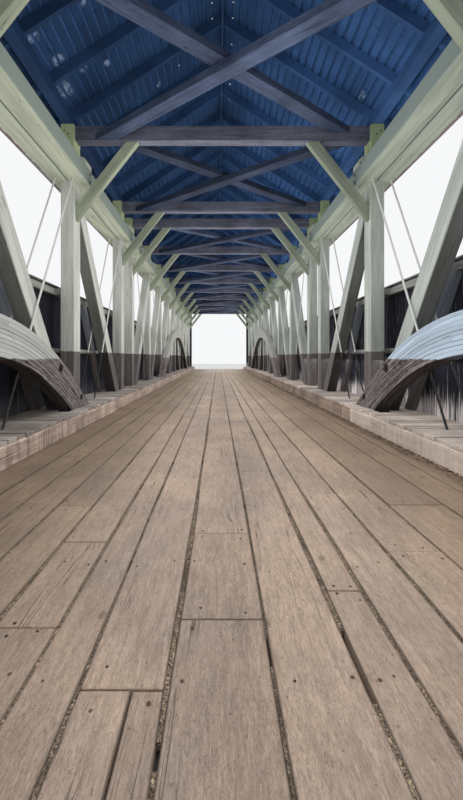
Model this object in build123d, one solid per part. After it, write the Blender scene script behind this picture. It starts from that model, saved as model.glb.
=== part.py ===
from build123d import *
import os
from math import atan2, cos, degrees, hypot, sin, sqrt

# Covered timber bridge of two truss spans that meet over a stone pier.
# X runs across the bridge, Y along it and Z up; the near span lies toward -Y.
# The origin is under the middle of the bridge, at the foot of the masonry.
# Lengths are in millimetres. Levels are heights above the top of the deck
# until level() lifts them to their place above the foot of the masonry.

# Spans
deck_height = 5200
near_bay = 2690
near_bays = 4
far_bay = 2310
far_bays = 8
pier_gap = 1010

# Truss timbers
truss_half_width = 2360
post_width = 205
post_depth = 255
post_top = 4700
brace_depth = 255
brace_foot_high = 0

# Chords
top_chord_low = 3790
top_chord_depth = 240
top_inner_stick = 255
top_outer_stick = 295
top_stick_gap = 55
top_chord_overlap = 204
bottom_chord_depth = 300
bottom_inner_stick = 100
bottom_outer_stick = 196
chord_run_on = 400

# Floor
plank_thickness = 50
subfloor_thickness = 50
stringer_width = 120
stringer_depth = 200
stringer_setback = 85
stringers_each_side = 4
floor_beam_width = 200
floor_beam_depth = 300
floor_beam_offsets = (620, 1400)
floor_beam_setback = 61
arch_clearance = 40
subfloor_setback = 5
lower_brace_width = 130
lower_brace_depth = 110

# Curb and ledge
curb_height = 240
curb_width = 190
curb_chamfer = 18
ledge_thickness = 40
ledge_rebate = 40
ledge_clearance = 4

# Laminated arches
arch_width = 190
ply_thickness = 46
ply_count = 9
ply_step = 6
near_crown_level = 1450
near_crown_radius = 3030
far_crown_level = 2450
far_crown_radius = 6750
arch_arc_shares = (0, 0.28, 0.49, 0.75, 1)

# Iron counter rods
rod_radius = 13
rod_fit = 0.3
inner_rod_offset = 25
outer_rod_offset = 45
rod_head_offset = 45
rod_foot_offset = 100
washer_length = 90
washer_width = 46
washer_thickness = 16
anchor_length = 180
anchor_depth = 100
anchor_overhang = 60
head_block_length = 260
head_block_depth = 120
head_block_chamfer = 35
head_block_clearance = 4

# Ties, knee braces and bracing under the roof
tie_depth = 230
tie_width = 150
knee_foot_low = 3190
knee_foot_high = 3440
knee_reach = 1003
knee_head_length = 203
knee_width = 100
upper_brace_width = 190
upper_brace_depth = 110
upper_brace_setback = 490

# Roof
plate_width = 160
plate_depth = 150
roof_slope = 0.65
rafter_depth = 140
rafter_width = 50
rafter_spacing = 750
birdsmouth = 50
ridge_board_width = 30
ridge_board_depth = 200
roof_thickness = 45
eave_overhang = 464
rafter_tail_setback = 40
roof_overhang = 450

# Siding and portals
board_thickness = 25
girt_thickness = 80
siding_drop = 100
low_girt_depth = 140
middle_girt_low = 1060
middle_girt_depth = 80
top_girt_drop = 40
top_girt_depth = 100
siding_top = 2140
cap_thickness = 30
cap_inner_lip = 40
cap_outer_lip = 36
girt_block_length = 120
strut_depth = 160
strut_head_share = 0.43
strut_foot_share = 0.78
portal_clearance = 30

# Masonry
seat_timber_width = 250
seat_timber_depth = 200
bearing_reach = 345
batter = 0.05
pier_shoulder = 289
cutwater_length = 700
coping_depth = 300
coping_lip = 60
abutment_shoulder = 289
backwall_thickness = 900
backwall_clearance = 15

# Places worked out from the sizes above
trussed_length = near_bays * near_bay + pier_gap + far_bays * far_bay
near_end = -trussed_length / 2
near_posts = [near_end + i * near_bay for i in range(near_bays + 1)]
far_start = near_posts[-1] + pier_gap
far_posts = [far_start + i * far_bay for i in range(far_bays + 1)]
all_posts = near_posts + far_posts
near_middle = (near_posts[0] + near_posts[-1]) / 2
far_middle = (far_posts[0] + far_posts[-1]) / 2
pier_middle = (near_posts[-1] + far_posts[0]) / 2

post_inner = truss_half_width
post_outer = truss_half_width + post_width
top_chord_high = top_chord_low + top_chord_depth
top_chord_inner = post_inner - top_chord_overlap
top_chord_outer = top_chord_inner + top_inner_stick + top_stick_gap + top_outer_stick
bottom_chord_high = -(plank_thickness + subfloor_thickness + stringer_depth + floor_beam_depth)
bottom_chord_low = bottom_chord_high - bottom_chord_depth
bottom_chord_outer = post_outer + bottom_outer_stick
siding_inner = max(top_chord_outer, bottom_chord_outer)
siding_outer = siding_inner + board_thickness
chord_end = all_posts[-1] + chord_run_on
portal_face = all_posts[-1] + post_depth / 2
roof_end = portal_face + board_thickness + roof_overhang
arch_depth = ply_count * ply_thickness
curb_back = post_inner - arch_width
deck_half_width = curb_back - curb_width
subfloor_half_width = curb_back - subfloor_setback
stringer_spacing = (subfloor_half_width - stringer_setback) / stringers_each_side
floor_beam_half_length = bottom_chord_outer - floor_beam_setback
ledge_inner = curb_back - ledge_rebate
ledge_low = curb_height - ledge_thickness
middle_girt_high = middle_girt_low + middle_girt_depth
top_girt_high = siding_top - top_girt_drop
top_girt_low = top_girt_high - top_girt_depth
girt_levels = (
    (ledge_low - low_girt_depth, ledge_low),
    (middle_girt_low, middle_girt_high),
    (top_girt_low, top_girt_high),
)
inner_rod_x = post_inner - inner_rod_offset
outer_rod_x = post_outer + outer_rod_offset
seat_level = bottom_chord_low - seat_timber_depth
tie_low = post_top - tie_depth
knee_head_inner = post_inner - knee_reach
knee_head_outer = knee_head_inner + knee_head_length
upper_brace_reach = post_inner - upper_brace_setback
portal_half_opening = curb_back + portal_clearance
eave_reach = siding_outer + eave_overhang
pier_half_length = bottom_chord_outer + pier_shoulder
abutment_half_width = bottom_chord_outer + abutment_shoulder
plate_high = post_top + plate_depth
plate_middle = (post_inner + post_outer) / 2
slope_secant = hypot(1, roof_slope)
roof_underside = plate_high - birdsmouth + plate_middle * roof_slope + rafter_depth * slope_secant


def level(height):
    """Height above the foot of the masonry for a height above the deck."""
    return deck_height + height


def across(outline, x_low, x_high):
    """A (y, z) outline drawn out across the bridge, heights above the deck."""
    plane = Plane((x_low, 0, level(0)), x_dir=(0, 1, 0), z_dir=(1, 0, 0))
    return extrude(plane * outline, amount=x_high - x_low)


def along(outline, y_low, y_high):
    """An (x, z) outline drawn out along the bridge, heights above the deck."""
    plane = Plane((0, y_high, level(0)), x_dir=(1, 0, 0), z_dir=(0, -1, 0))
    return extrude(plane * outline, amount=y_high - y_low)


def upward(outline, z_low, z_high):
    """An (x, y) outline drawn upward between two heights above the deck."""
    return extrude(Pos(0, 0, level(z_low)) * outline, amount=z_high - z_low)


def polygon(points):
    """A flat face inside straight sides."""
    return make_face(Polyline(*points, close=True))


def rectangle(low, high):
    """A flat rectangle between two corners."""
    middle = ((low[0] + high[0]) / 2, (low[1] + high[1]) / 2)
    return Pos(*middle) * Rectangle(high[0] - low[0], high[1] - low[1])


def timber(x_range, y_range, z_range):
    """A squared timber or slab between two corners."""
    return upward(
        rectangle((x_range[0], y_range[0]), (x_range[1], y_range[1])), z_range[0], z_range[1]
    )


def slanting_timber(start, end, depth, low, high):
    """Outline of a timber along a slanting line, trimmed square to its frame."""
    angle = degrees(atan2(end[1] - start[1], end[0] - start[0]))
    length = hypot(end[0] - start[0], end[1] - start[1]) + 2 * depth
    middle = ((start[0] + end[0]) / 2, (start[1] + end[1]) / 2)
    band = Pos(*middle) * Rot(0, 0, angle) * Rectangle(length, depth)
    return band & rectangle(low, high)


def bays():
    """Each bay as its inner post, toward the middle of its span, and its outer post."""
    pairs = []
    for posts in (near_posts, far_posts):
        half = len(posts) // 2
        for i in range(half):
            pairs.append((posts[i + 1], posts[i]))
            pairs.append((posts[-i - 2], posts[-i - 1]))
    return pairs


def save(name, pieces):
    """Write the solids of one node."""
    solids = [solid for piece in pieces for solid in piece.solids()]
    export_step(solids[0] if len(solids) == 1 else Compound(solids), f"parts/{name}.step")


def save_pair(name, pieces):
    """Write the right-hand pieces and their mirror images on the left."""
    save(name + "_right", pieces)
    save(name + "_left", [mirror(piece, about=Plane.YZ) for piece in pieces])


# Trusses


def post(y):
    """A post housed over the inner stick of the bottom chord."""
    housing = post_inner + bottom_inner_stick
    outline = polygon(
        [
            (housing, bottom_chord_low),
            (post_outer, bottom_chord_low),
            (post_outer, post_top),
            (post_inner, post_top),
            (post_inner, bottom_chord_high),
            (housing, bottom_chord_high),
        ]
    )
    return along(outline, y - post_depth / 2, y + post_depth / 2)


def brace_line(inner_post, outer_post):
    """Post faces that a brace bears on, with its slope and its upright thickness."""
    toward = 1 if outer_post > inner_post else -1
    inner_face = inner_post + toward * post_depth / 2
    outer_face = outer_post - toward * post_depth / 2
    slope = (top_chord_low - brace_foot_high) / abs(outer_face - inner_face)
    return inner_face, outer_face, slope, brace_depth * hypot(1, slope)


def brace(inner_post, outer_post):
    """A brace from the foot of the outer post to the head of the inner one."""
    inner_face, outer_face, _, thickness = brace_line(inner_post, outer_post)
    foot = (outer_face, brace_foot_high - thickness / 2)
    head = (inner_face, top_chord_low - thickness / 2)
    low = (min(inner_face, outer_face), bottom_chord_high)
    high = (max(inner_face, outer_face), top_chord_low)
    return across(slanting_timber(foot, head, brace_depth, low, high), post_inner, post_outer)


def rod_ends(inner_post, outer_post):
    """Where a counter rod leaves its head block and its anchor block."""
    toward = 1 if outer_post > inner_post else -1
    head = (outer_post - toward * rod_head_offset, top_chord_high + head_block_depth)
    foot = (inner_post + toward * rod_foot_offset, bottom_chord_low - anchor_depth)
    return head, foot


def rod_shaft(x, inner_post, outer_post, radius):
    """The round shaft of a counter rod, from washer to washer."""
    head, foot = rod_ends(inner_post, outer_post)
    length = hypot(head[0] - foot[0], head[1] - foot[1])
    extra = 2 * washer_length * abs(head[0] - foot[0]) / length
    direction = Vector(0, head[0] - foot[0], head[1] - foot[1]).normalized()
    start = Vector(x, foot[0], level(foot[1])) - direction * extra
    return extrude(Plane(start, z_dir=direction) * Circle(radius), amount=length + 2 * extra)


def bevel_washer(x, seat, direction, up):
    """A wedge that turns the level face of a timber square to a slanting rod."""
    half = washer_length / 2
    rise = washer_length * abs(direction[0] / direction[1])
    lean = 1 if direction[0] * direction[1] * up > 0 else -1
    outline = polygon(
        [
            (seat[0] - half, seat[1]),
            (seat[0] + half, seat[1]),
            (seat[0] + half, seat[1] + up * (washer_thickness + (rise if lean < 0 else 0))),
            (seat[0] - half, seat[1] + up * (washer_thickness + (rise if lean > 0 else 0))),
        ]
    )
    return across(outline, x - washer_width / 2, x + washer_width / 2)


def counter_rod(x, inner_post, outer_post):
    """A counter rod with the wedge washer at each end."""
    head, foot = rod_ends(inner_post, outer_post)
    direction = (head[0] - foot[0], head[1] - foot[1])
    shaft = rod_shaft(x, inner_post, outer_post, rod_radius)
    return shaft + bevel_washer(x, head, direction, 1) + bevel_washer(x, foot, direction, -1)


def rod_holes(x):
    """Cylinders that bore the holes for every counter rod in one plane."""
    return [rod_shaft(x, inner, outer, rod_radius + rod_fit) for inner, outer in bays()]


def anchor_block(inner_post, outer_post):
    """The block under the bottom chord that both rods of a pair pull against."""
    foot = rod_ends(inner_post, outer_post)[1]
    half = anchor_length / 2
    block = timber(
        (inner_rod_x - anchor_overhang, outer_rod_x + anchor_overhang),
        (foot[0] - half, foot[0] + half),
        (foot[1], bottom_chord_low),
    )
    for x in (inner_rod_x, outer_rod_x):
        block -= rod_shaft(x, inner_post, outer_post, rod_radius + rod_fit)
    return block


def head_blocks(inner_post, outer_post):
    """Blocks on the top chord under the heads of a pair of rods, one each side of the post."""
    middle = rod_ends(inner_post, outer_post)[0][0]
    half = head_block_length / 2
    high = top_chord_high + head_block_depth
    inner_outline = polygon(
        [
            (top_chord_inner, top_chord_high),
            (post_inner - head_block_clearance, top_chord_high),
            (post_inner - head_block_clearance, high),
            (top_chord_inner + head_block_chamfer, high),
            (top_chord_inner, high - head_block_chamfer),
        ]
    )
    outer_outline = rectangle((post_outer + head_block_clearance, top_chord_high),
                              (top_chord_outer, high))
    blocks = []
    for x, outline in ((inner_rod_x, inner_outline), (outer_rod_x, outer_outline)):
        hole = rod_shaft(x, inner_post, outer_post, rod_radius + rod_fit)
        blocks.append(along(outline, middle - half, middle + half) - hole)
    return blocks


def chord_stick(x_low, x_high, y_end, z_low, z_high, notches, holes):
    """One stick of a chord, notched round the posts and bored for the rods."""
    stick = timber((x_low, x_high), (-y_end, y_end), (z_low, z_high))
    return stick - notches - holes


def top_chord():
    """Two sticks side by side that clasp the posts."""
    notches = [
        timber((post_inner, post_outer), (y - post_depth / 2, y + post_depth / 2),
               (top_chord_low, top_chord_high))
        for y in all_posts
    ]
    inner_end = top_chord_inner + top_inner_stick
    outer_start = inner_end + top_stick_gap
    inner = chord_stick(top_chord_inner, inner_end, portal_face, top_chord_low,
                        top_chord_high, notches, rod_holes(inner_rod_x))
    outer = chord_stick(outer_start, top_chord_outer, portal_face, top_chord_low,
                        top_chord_high, notches, rod_holes(outer_rod_x))
    return [inner, outer]


def bottom_chord():
    """One stick housed in the posts and one outside them."""
    inner = timber((post_inner, post_inner + bottom_inner_stick), (-chord_end, chord_end),
                   (bottom_chord_low, bottom_chord_high))
    outer = chord_stick(post_outer, bottom_chord_outer, chord_end, bottom_chord_low,
                        bottom_chord_high, [], rod_holes(outer_rod_x))
    return [inner, outer]


# Laminated arches


def arch_arcs(crown_radius, half_span):
    """Arcs, each tangent to the one before, through points of a parabola."""
    stations = [share * half_span for share in arch_arc_shares]
    arcs = []
    angle = 0
    for start, end in zip(stations, stations[1:]):
        drop = (end * end - start * start) / (2 * crown_radius)
        next_angle = 2 * atan2(drop, end - start) - angle
        radius = (end - start) / (sin(next_angle) - sin(angle))
        centre_run = start - radius * sin(angle)
        centre_drop = start * start / (2 * crown_radius) + radius * cos(angle)
        arcs.append((centre_run, centre_drop, radius, angle, next_angle))
        angle = next_angle
    return arcs


def ply_curve(arcs, middle, crown_level, depth):
    """The arch line at one depth below its back, from foot to foot."""
    edges = []
    for run, drop, radius, start, end in arcs:
        for side in (1, -1):
            turn = 90 - side * degrees(start)
            centre = (middle + side * run, crown_level - drop)
            edges.append(CenterArc(centre, radius - depth, turn, -side * degrees(end - start)))
    return edges


def foot_point(arcs, middle, crown_level, depth, side):
    """The end of the arch line at one depth below its back."""
    run, drop, radius, _, end = arcs[-1]
    reach = run + (radius - depth) * sin(end)
    return (middle + side * reach, crown_level - drop + (radius - depth) * cos(end))


def ply_band(arcs, middle, crown_level, back, belly):
    """The face between two depths of the arch."""
    place = (arcs, middle, crown_level)
    ends = [
        Line(foot_point(*place, back, side), foot_point(*place, belly, side)) for side in (1, -1)
    ]
    return make_face(ply_curve(*place, back) + ply_curve(*place, belly) + ends)


def plain_arch(middle, crown_level, crown_radius, half_span):
    """The whole rib with flat sides, as the masonry receives it."""
    arcs = arch_arcs(crown_radius, half_span)
    face = ply_band(arcs, middle, crown_level, 0, arch_depth)
    return across(face, post_inner - arch_width, post_inner)


def laminated_arch(middle, crown_level, crown_radius, half_span):
    """A rib of bent planks, every second one a little narrower, bored for the rods."""
    arcs = arch_arcs(crown_radius, half_span)
    plies = []
    for i in range(ply_count):
        face = ply_band(arcs, middle, crown_level, i * ply_thickness, (i + 1) * ply_thickness)
        inner_side = post_inner - arch_width + (ply_step if i % 2 else 0)
        plies.append(across(face, inner_side, post_inner))
    rib = plies[0].fuse(*plies[1:])
    crossing = [
        rod_shaft(inner_rod_x, inner, outer, rod_radius + rod_fit)
        for inner, outer in bays()
        if abs(inner - middle) < half_span and abs(outer - middle) <= half_span
    ]
    return rib - crossing


def arch_run_at(crown_level, crown_radius, height):
    """Distance from the crown at which the back of an arch meets a height."""
    return sqrt(2 * crown_radius * (crown_level - height))


def arch_shadow(crown_level, crown_radius):
    """Stretch along the span that an arch fills at the height of the floor beams."""
    high = bottom_chord_high + floor_beam_depth
    outer = arch_run_at(crown_level, crown_radius, bottom_chord_high)
    slope = arch_run_at(crown_level, crown_radius, high) / crown_radius
    inner = arch_run_at(crown_level, crown_radius, high + arch_depth * hypot(1, slope))
    return inner - arch_clearance, outer + arch_clearance


# Floor


def floor_beam_places():
    """Beams beyond each inner post, left out where an arch comes down, and over the supports."""
    shadows = {
        near_middle: arch_shadow(near_crown_level, near_crown_radius),
        far_middle: arch_shadow(far_crown_level, far_crown_radius),
    }
    half = floor_beam_width / 2
    places = [pier_middle]
    for side in (1, -1):
        places.append(side * (chord_end - half))
    for inner, outer in bays():
        middle = near_middle if inner < pier_middle else far_middle
        shadow = shadows[middle]
        toward = 1 if outer > inner else -1
        for offset in floor_beam_offsets:
            y = inner + toward * offset
            run = abs(y - middle)
            if run + half < shadow[0] or run - half > shadow[1]:
                places.append(y)
    return sorted(places)


def floor_beams():
    """Transverse beams that rest on the bottom chords."""
    half = floor_beam_width / 2
    return [
        timber((-floor_beam_half_length, floor_beam_half_length), (y - half, y + half),
               (bottom_chord_high, bottom_chord_high + floor_beam_depth))
        for y in floor_beam_places()
    ]


def stringers():
    """Lengthwise timbers on the floor beams."""
    low = bottom_chord_high + floor_beam_depth
    half = stringer_width / 2
    places = [i * stringer_spacing for i in range(-stringers_each_side, stringers_each_side + 1)]
    return [
        timber((x - half, x + half), (-chord_end, chord_end), (low, low + stringer_depth))
        for x in places
    ]


def lower_bracing():
    """Crossed diagonals between the bottom chords, one of each pair above the other."""
    pieces = []
    for inner, outer in bays():
        low, high = sorted((inner, outer))
        for side, bottom in ((1, bottom_chord_low), (-1, bottom_chord_high - lower_brace_depth)):
            start = (-side * post_inner, low)
            end = (side * post_inner, high)
            outline = slanting_timber(start, end, lower_brace_width,
                                      (-post_inner, low), (post_inner, high))
            pieces.append(upward(outline, bottom, bottom + lower_brace_depth))
    return pieces


def curb():
    """The curb timber, chamfered by the roadway and rebated for the ledge boards."""
    outline = polygon(
        [
            (deck_half_width, -plank_thickness),
            (curb_back, -plank_thickness),
            (curb_back, ledge_low),
            (ledge_inner, ledge_low),
            (ledge_inner, curb_height),
            (deck_half_width + curb_chamfer, curb_height),
            (deck_half_width, curb_height - curb_chamfer),
        ]
    )
    return [along(outline, -chord_end, chord_end)]


def ledge(arches):
    """The raised boards under the trusses, cut round all that rises through them."""
    floor = timber((ledge_inner, siding_inner), (-portal_face, portal_face),
                   (ledge_low, curb_height))
    cuts = []
    reach = post_depth / 2 + ledge_clearance
    for y in all_posts:
        cuts.append(timber((post_inner - ledge_clearance, post_outer + ledge_clearance),
                           (y - reach, y + reach), (ledge_low, curb_height)))
    for inner, outer in bays():
        toward = 1 if outer > inner else -1
        _, outer_face, slope, thickness = brace_line(inner, outer)
        near_cut = (ledge_low - brace_foot_high) / slope - ledge_clearance
        far_cut = (curb_height - brace_foot_high + thickness) / slope + ledge_clearance
        cut_ends = sorted((outer_face - toward * near_cut, outer_face - toward * far_cut))
        cuts.append(timber((post_inner - ledge_clearance, post_outer + ledge_clearance),
                           cut_ends, (ledge_low, curb_height)))
    return [floor - cuts - arches - rod_holes(inner_rod_x) - rod_holes(outer_rod_x)]


# Siding and portals


def siding_rails():
    """Rails outside the posts, on short blocks, that the siding boards are nailed to."""
    rails = []
    inner_face = siding_inner - girt_thickness
    half = girt_block_length / 2
    for low, high in girt_levels:
        rail = timber((inner_face, siding_inner), (-portal_face, portal_face), (low, high))
        blocks = [timber((post_outer, inner_face), (y - half, y + half), (low, high))
                  for y in all_posts]
        rails.append(rail.fuse(*blocks))
    return rails


def siding_struts():
    """Slanting struts that stiffen the siding, cut between its rails in every bay."""
    pieces = []
    for inner, outer in bays():
        head = (inner + strut_head_share * (outer - inner), top_girt_low)
        foot = (inner + strut_foot_share * (outer - inner), curb_height)
        low, high = sorted((inner, outer))
        for bottom, top in ((curb_height, middle_girt_low), (middle_girt_high, top_girt_low)):
            outline = slanting_timber(foot, head, strut_depth, (low, bottom), (high, top))
            pieces.append(across(outline, siding_inner - girt_thickness, siding_inner))
    return pieces


def siding():
    """The skin of upright boards with its cap board."""
    skin = timber((siding_inner, siding_outer), (-portal_face, portal_face),
                  (bottom_chord_low - siding_drop, siding_top))
    cap = timber((siding_inner - cap_inner_lip, siding_outer + cap_outer_lip),
                 (-portal_face, portal_face), (siding_top, siding_top + cap_thickness))
    return [skin + cap]


def portal(side):
    """The boarded end wall, open over the roadway and cut round the roof plates."""
    eave_level = roof_underside - siding_outer * roof_slope
    outline = polygon(
        [
            (portal_half_opening, bottom_chord_high),
            (siding_outer, bottom_chord_high),
            (siding_outer, eave_level),
            (0, roof_underside),
            (-siding_outer, eave_level),
            (-siding_outer, bottom_chord_high),
            (-portal_half_opening, bottom_chord_high),
            (-portal_half_opening, tie_low),
            (portal_half_opening, tie_low),
        ]
    )
    for x_side in (1, -1):
        low, high = sorted((x_side * (plate_middle - plate_width / 2),
                            x_side * (plate_middle + plate_width / 2)))
        outline -= rectangle((low, post_top), (high, plate_high))
    ridge_half = ridge_board_width / 2
    outline -= rectangle((-ridge_half, ridge_low()), (ridge_half, roof_underside))
    low, high = sorted((side * portal_face, side * (portal_face + board_thickness)))
    return along(outline, low, high)


# Ties, knee braces and bracing under the roof


def tie_beams():
    """Beams between the post heads."""
    half = tie_width / 2
    return [timber((-post_inner, post_inner), (y - half, y + half), (tie_low, post_top))
            for y in all_posts]


def knee_braces():
    """Short struts from each post to its tie beam."""
    outline = polygon(
        [
            (post_inner, knee_foot_low),
            (post_inner, knee_foot_high),
            (knee_head_outer, tie_low),
            (knee_head_inner, tie_low),
        ]
    )
    half = knee_width / 2
    return [along(outline, y - half, y + half) for y in all_posts]


def upper_bracing():
    """Crossed diagonals between the tie beams, one of each pair above the other."""
    pieces = []
    for inner, outer in bays():
        low, high = sorted((inner, outer))
        low += tie_width / 2
        high -= tie_width / 2
        for side, bottom in ((1, tie_low), (-1, post_top - upper_brace_depth)):
            outline = slanting_timber((-side * upper_brace_reach, low),
                                      (side * upper_brace_reach, high), upper_brace_width,
                                      (-post_inner, low), (post_inner, high))
            pieces.append(upward(outline, bottom, bottom + upper_brace_depth))
    return pieces


# Roof


def ridge_low():
    """Underside of the ridge board."""
    return roof_underside - ridge_board_width / 2 * roof_slope - ridge_board_depth


def roof_band(x_inner, x_outer, low, high):
    """Outline of a layer of the right-hand slope, by its depths below the roof boards."""
    points = []
    for x, depth in ((x_inner, low), (x_outer, low), (x_outer, high), (x_inner, high)):
        points.append((x, roof_underside - x * roof_slope - depth * slope_secant))
    return polygon(points)


def rafters():
    """Common rafters, notched over the plate, and one at each verge."""
    outline = roof_band(ridge_board_width / 2, eave_reach - rafter_tail_setback, 0, rafter_depth)
    outline -= rectangle((plate_middle - plate_width / 2, post_top),
                         (plate_middle + plate_width / 2, plate_high))
    rafter = along(outline, -rafter_width / 2, rafter_width / 2)
    inside = portal_face - rafter_width
    count = round(2 * inside / rafter_spacing)
    places = [-inside + i * 2 * inside / count for i in range(count + 1)]
    verge = roof_end - rafter_width
    return [Pos(0, y, 0) * rafter for y in [-verge] + places + [verge]]


def ridge_board():
    """The board between the heads of the rafters."""
    half = ridge_board_width / 2
    peak = roof_underside
    shoulder = peak - half * roof_slope
    outline = polygon([(-half, ridge_low()), (half, ridge_low()), (half, shoulder), (0, peak),
                       (-half, shoulder)])
    return [along(outline, -roof_end + rafter_width / 2, roof_end - rafter_width / 2)]


def roof_plate():
    """The plate on the post heads that carries the rafters."""
    half = plate_width / 2
    return [timber((plate_middle - half, plate_middle + half),
                   (-roof_end + rafter_width / 2, roof_end - rafter_width / 2),
                   (post_top, plate_high))]


def roof_slope_boards():
    """One slope of the roof covering."""
    return [along(roof_band(0, eave_reach, -roof_thickness, 0), -roof_end, roof_end)]


# Masonry


def seat_timbers():
    """Timbers between the chords and the masonry."""
    half = seat_timber_width / 2
    return [timber((-bottom_chord_outer, bottom_chord_outer), (y - half, y + half),
                   (seat_level, bottom_chord_low))
            for y in (near_posts[0], near_posts[-1], far_posts[0], far_posts[-1])]


def pier_plan(lip):
    """Plan of the pier with a pointed cutwater at each end."""
    half = pier_gap / 2 + bearing_reach + lip
    flank = pier_half_length + lip
    nose = pier_half_length + cutwater_length + lip
    return polygon(
        [
            (flank, pier_middle - half),
            (nose, pier_middle),
            (flank, pier_middle + half),
            (-flank, pier_middle + half),
            (-nose, pier_middle),
            (-flank, pier_middle - half),
        ]
    )


def pier(arches):
    """The battered pier under its coping, pocketed for the feet of the arches."""
    shaft_height = level(seat_level) - coping_depth
    top = Pos(0, 0, shaft_height) * pier_plan(0)
    shaft = extrude(top, amount=-shaft_height, taper=-degrees(atan2(batter, 1)))
    coping = extrude(Pos(0, 0, shaft_height) * pier_plan(coping_lip), amount=coping_depth)
    return [shaft + coping - arches]


def abutment(side, arches):
    """A stepped abutment: battered face, coping, seat and back wall up to the deck."""
    face = all_posts[-1] - bearing_reach
    foot = -deck_height
    coping_low = seat_level - coping_depth
    wall = chord_end + backwall_clearance
    back = wall + backwall_thickness
    points = [
        (face - batter * (coping_low - foot), foot),
        (back, foot),
        (back, 0),
        (wall, 0),
        (wall, seat_level),
        (face - coping_lip, seat_level),
        (face - coping_lip, coping_low),
        (face, coping_low),
    ]
    outline = polygon([(side * y, z) for y, z in points])
    block = across(outline, -abutment_half_width, abutment_half_width)
    return [block - arches]


def main():
    os.makedirs("parts", exist_ok=True)

    near_half_span = near_middle - near_posts[0]
    far_half_span = far_middle - far_posts[0]
    near_arch = (near_middle, near_crown_level, near_crown_radius, near_half_span)
    far_arch = (far_middle, far_crown_level, far_crown_radius, far_half_span)
    right_ribs = [plain_arch(*near_arch), plain_arch(*far_arch)]
    ribs = right_ribs + [mirror(rib, about=Plane.YZ) for rib in right_ribs]

    save("pier", pier(ribs))
    save("abutment_near", abutment(-1, ribs))
    save("abutment_far", abutment(1, ribs))
    save("seat_timbers", seat_timbers())

    save_pair("bottom_chord", bottom_chord())
    save_pair("posts", [post(y) for y in all_posts])
    save_pair("braces", [brace(inner, outer) for inner, outer in bays()])
    save_pair("top_chord", top_chord())
    rods = [counter_rod(x, inner, outer) for inner, outer in bays()
            for x in (inner_rod_x, outer_rod_x)]
    save_pair("counter_rods", rods)
    save_pair("rod_anchor_blocks", [anchor_block(inner, outer) for inner, outer in bays()])
    save_pair("rod_head_blocks", [block for bay in bays() for block in head_blocks(*bay)])
    save_pair("arch_near", [laminated_arch(*near_arch)])
    save_pair("arch_far", [laminated_arch(*far_arch)])

    low = bottom_chord_high + floor_beam_depth + stringer_depth
    save("floor_beams", floor_beams())
    save("stringers", stringers())
    save("lower_bracing", lower_bracing())
    save("subfloor", [timber((-subfloor_half_width, subfloor_half_width),
                             (-chord_end, chord_end), (low, low + subfloor_thickness))])
    save("deck", [timber((-deck_half_width, deck_half_width), (-chord_end, chord_end),
                         (-plank_thickness, 0))])
    save_pair("curb", curb())
    save_pair("ledge", ledge(right_ribs))

    save_pair("siding_rails", siding_rails())
    save_pair("siding_struts", siding_struts())
    save_pair("siding", siding())
    save("portal_near", [portal(-1)])
    save("portal_far", [portal(1)])

    save("tie_beams", tie_beams())
    save_pair("knee_braces", knee_braces())
    save("upper_bracing", upper_bracing())
    save_pair("roof_plate", roof_plate())
    save_pair("rafters", rafters())
    save("ridge_board", ridge_board())
    save_pair("roof", roof_slope_boards())


main()
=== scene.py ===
import math
import random
from collections import namedtuple
from functools import cached_property
from itertools import pairwise

import bmesh
import bpy
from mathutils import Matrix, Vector


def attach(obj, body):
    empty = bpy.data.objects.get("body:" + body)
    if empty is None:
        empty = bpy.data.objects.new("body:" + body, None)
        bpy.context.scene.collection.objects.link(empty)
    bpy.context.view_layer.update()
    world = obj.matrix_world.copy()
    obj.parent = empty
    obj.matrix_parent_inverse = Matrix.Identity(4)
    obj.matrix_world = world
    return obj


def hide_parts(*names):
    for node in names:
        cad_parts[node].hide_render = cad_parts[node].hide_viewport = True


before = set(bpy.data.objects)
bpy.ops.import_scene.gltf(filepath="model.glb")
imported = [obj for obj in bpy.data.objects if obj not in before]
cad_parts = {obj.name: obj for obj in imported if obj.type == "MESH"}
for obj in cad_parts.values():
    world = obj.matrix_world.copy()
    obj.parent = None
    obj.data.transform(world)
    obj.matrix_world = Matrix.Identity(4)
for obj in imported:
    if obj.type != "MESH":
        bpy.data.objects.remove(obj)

# Dressing of the covered timber bridge: boards, plies, shingles, stones, iron
# and the finish of every surface. Lengths are in metres, in the frame of the
# part: X across the bridge, Y along it, Z up from the foot of the masonry.
# Levels are heights above the top of the deck until level() lifts them.

# Spans and trusses
DECK_HEIGHT = 5.2
NEAR_BAY = 2.69
NEAR_BAYS = 4
FAR_BAY = 2.31
FAR_BAYS = 8
PIER_GAP = 1.01
POST_INNER = 2.36
POST_OUTER = 2.565
POST_DEPTH = 0.255
POST_TOP = 4.7
BRACE_DEPTH = 0.255
CHORD_INNER = 2.156
CHORD_OUTER = 2.761
CHORD_LOW = 3.79
CHORD_HIGH = 4.03
CHORD_STICKS = ((2.156, 2.438), (2.452, 2.761))
CHORD_JOINTS = ((-13.9, -1.9, 8.6), (-14.6, -2.9, 4.4, 11.8))
SCARF = 0.35
BOTTOM_CHORD_HIGH = -0.6
BOTTOM_CHORD_LOW = -0.9
CHORD_RUN_ON = 0.4
INNER_ROD_X = 2.335
OUTER_ROD_X = 2.61
ROD_HEAD_OFFSET = 0.045
ROD_FOOT_OFFSET = 0.1
HEAD_BLOCK_DEPTH = 0.12
ANCHOR_DEPTH = 0.1

# Arches: the crowns' heights and radii, and where the arcs of half an arch join
ARCH_WIDTH = 0.19
PLY = 0.046
PLIES = 9
NEAR_CROWN = (1.45, 3.03)
FAR_CROWN = (2.45, 6.75)
ARC_SHARES = (0, 0.28, 0.49, 0.75, 1)

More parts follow.
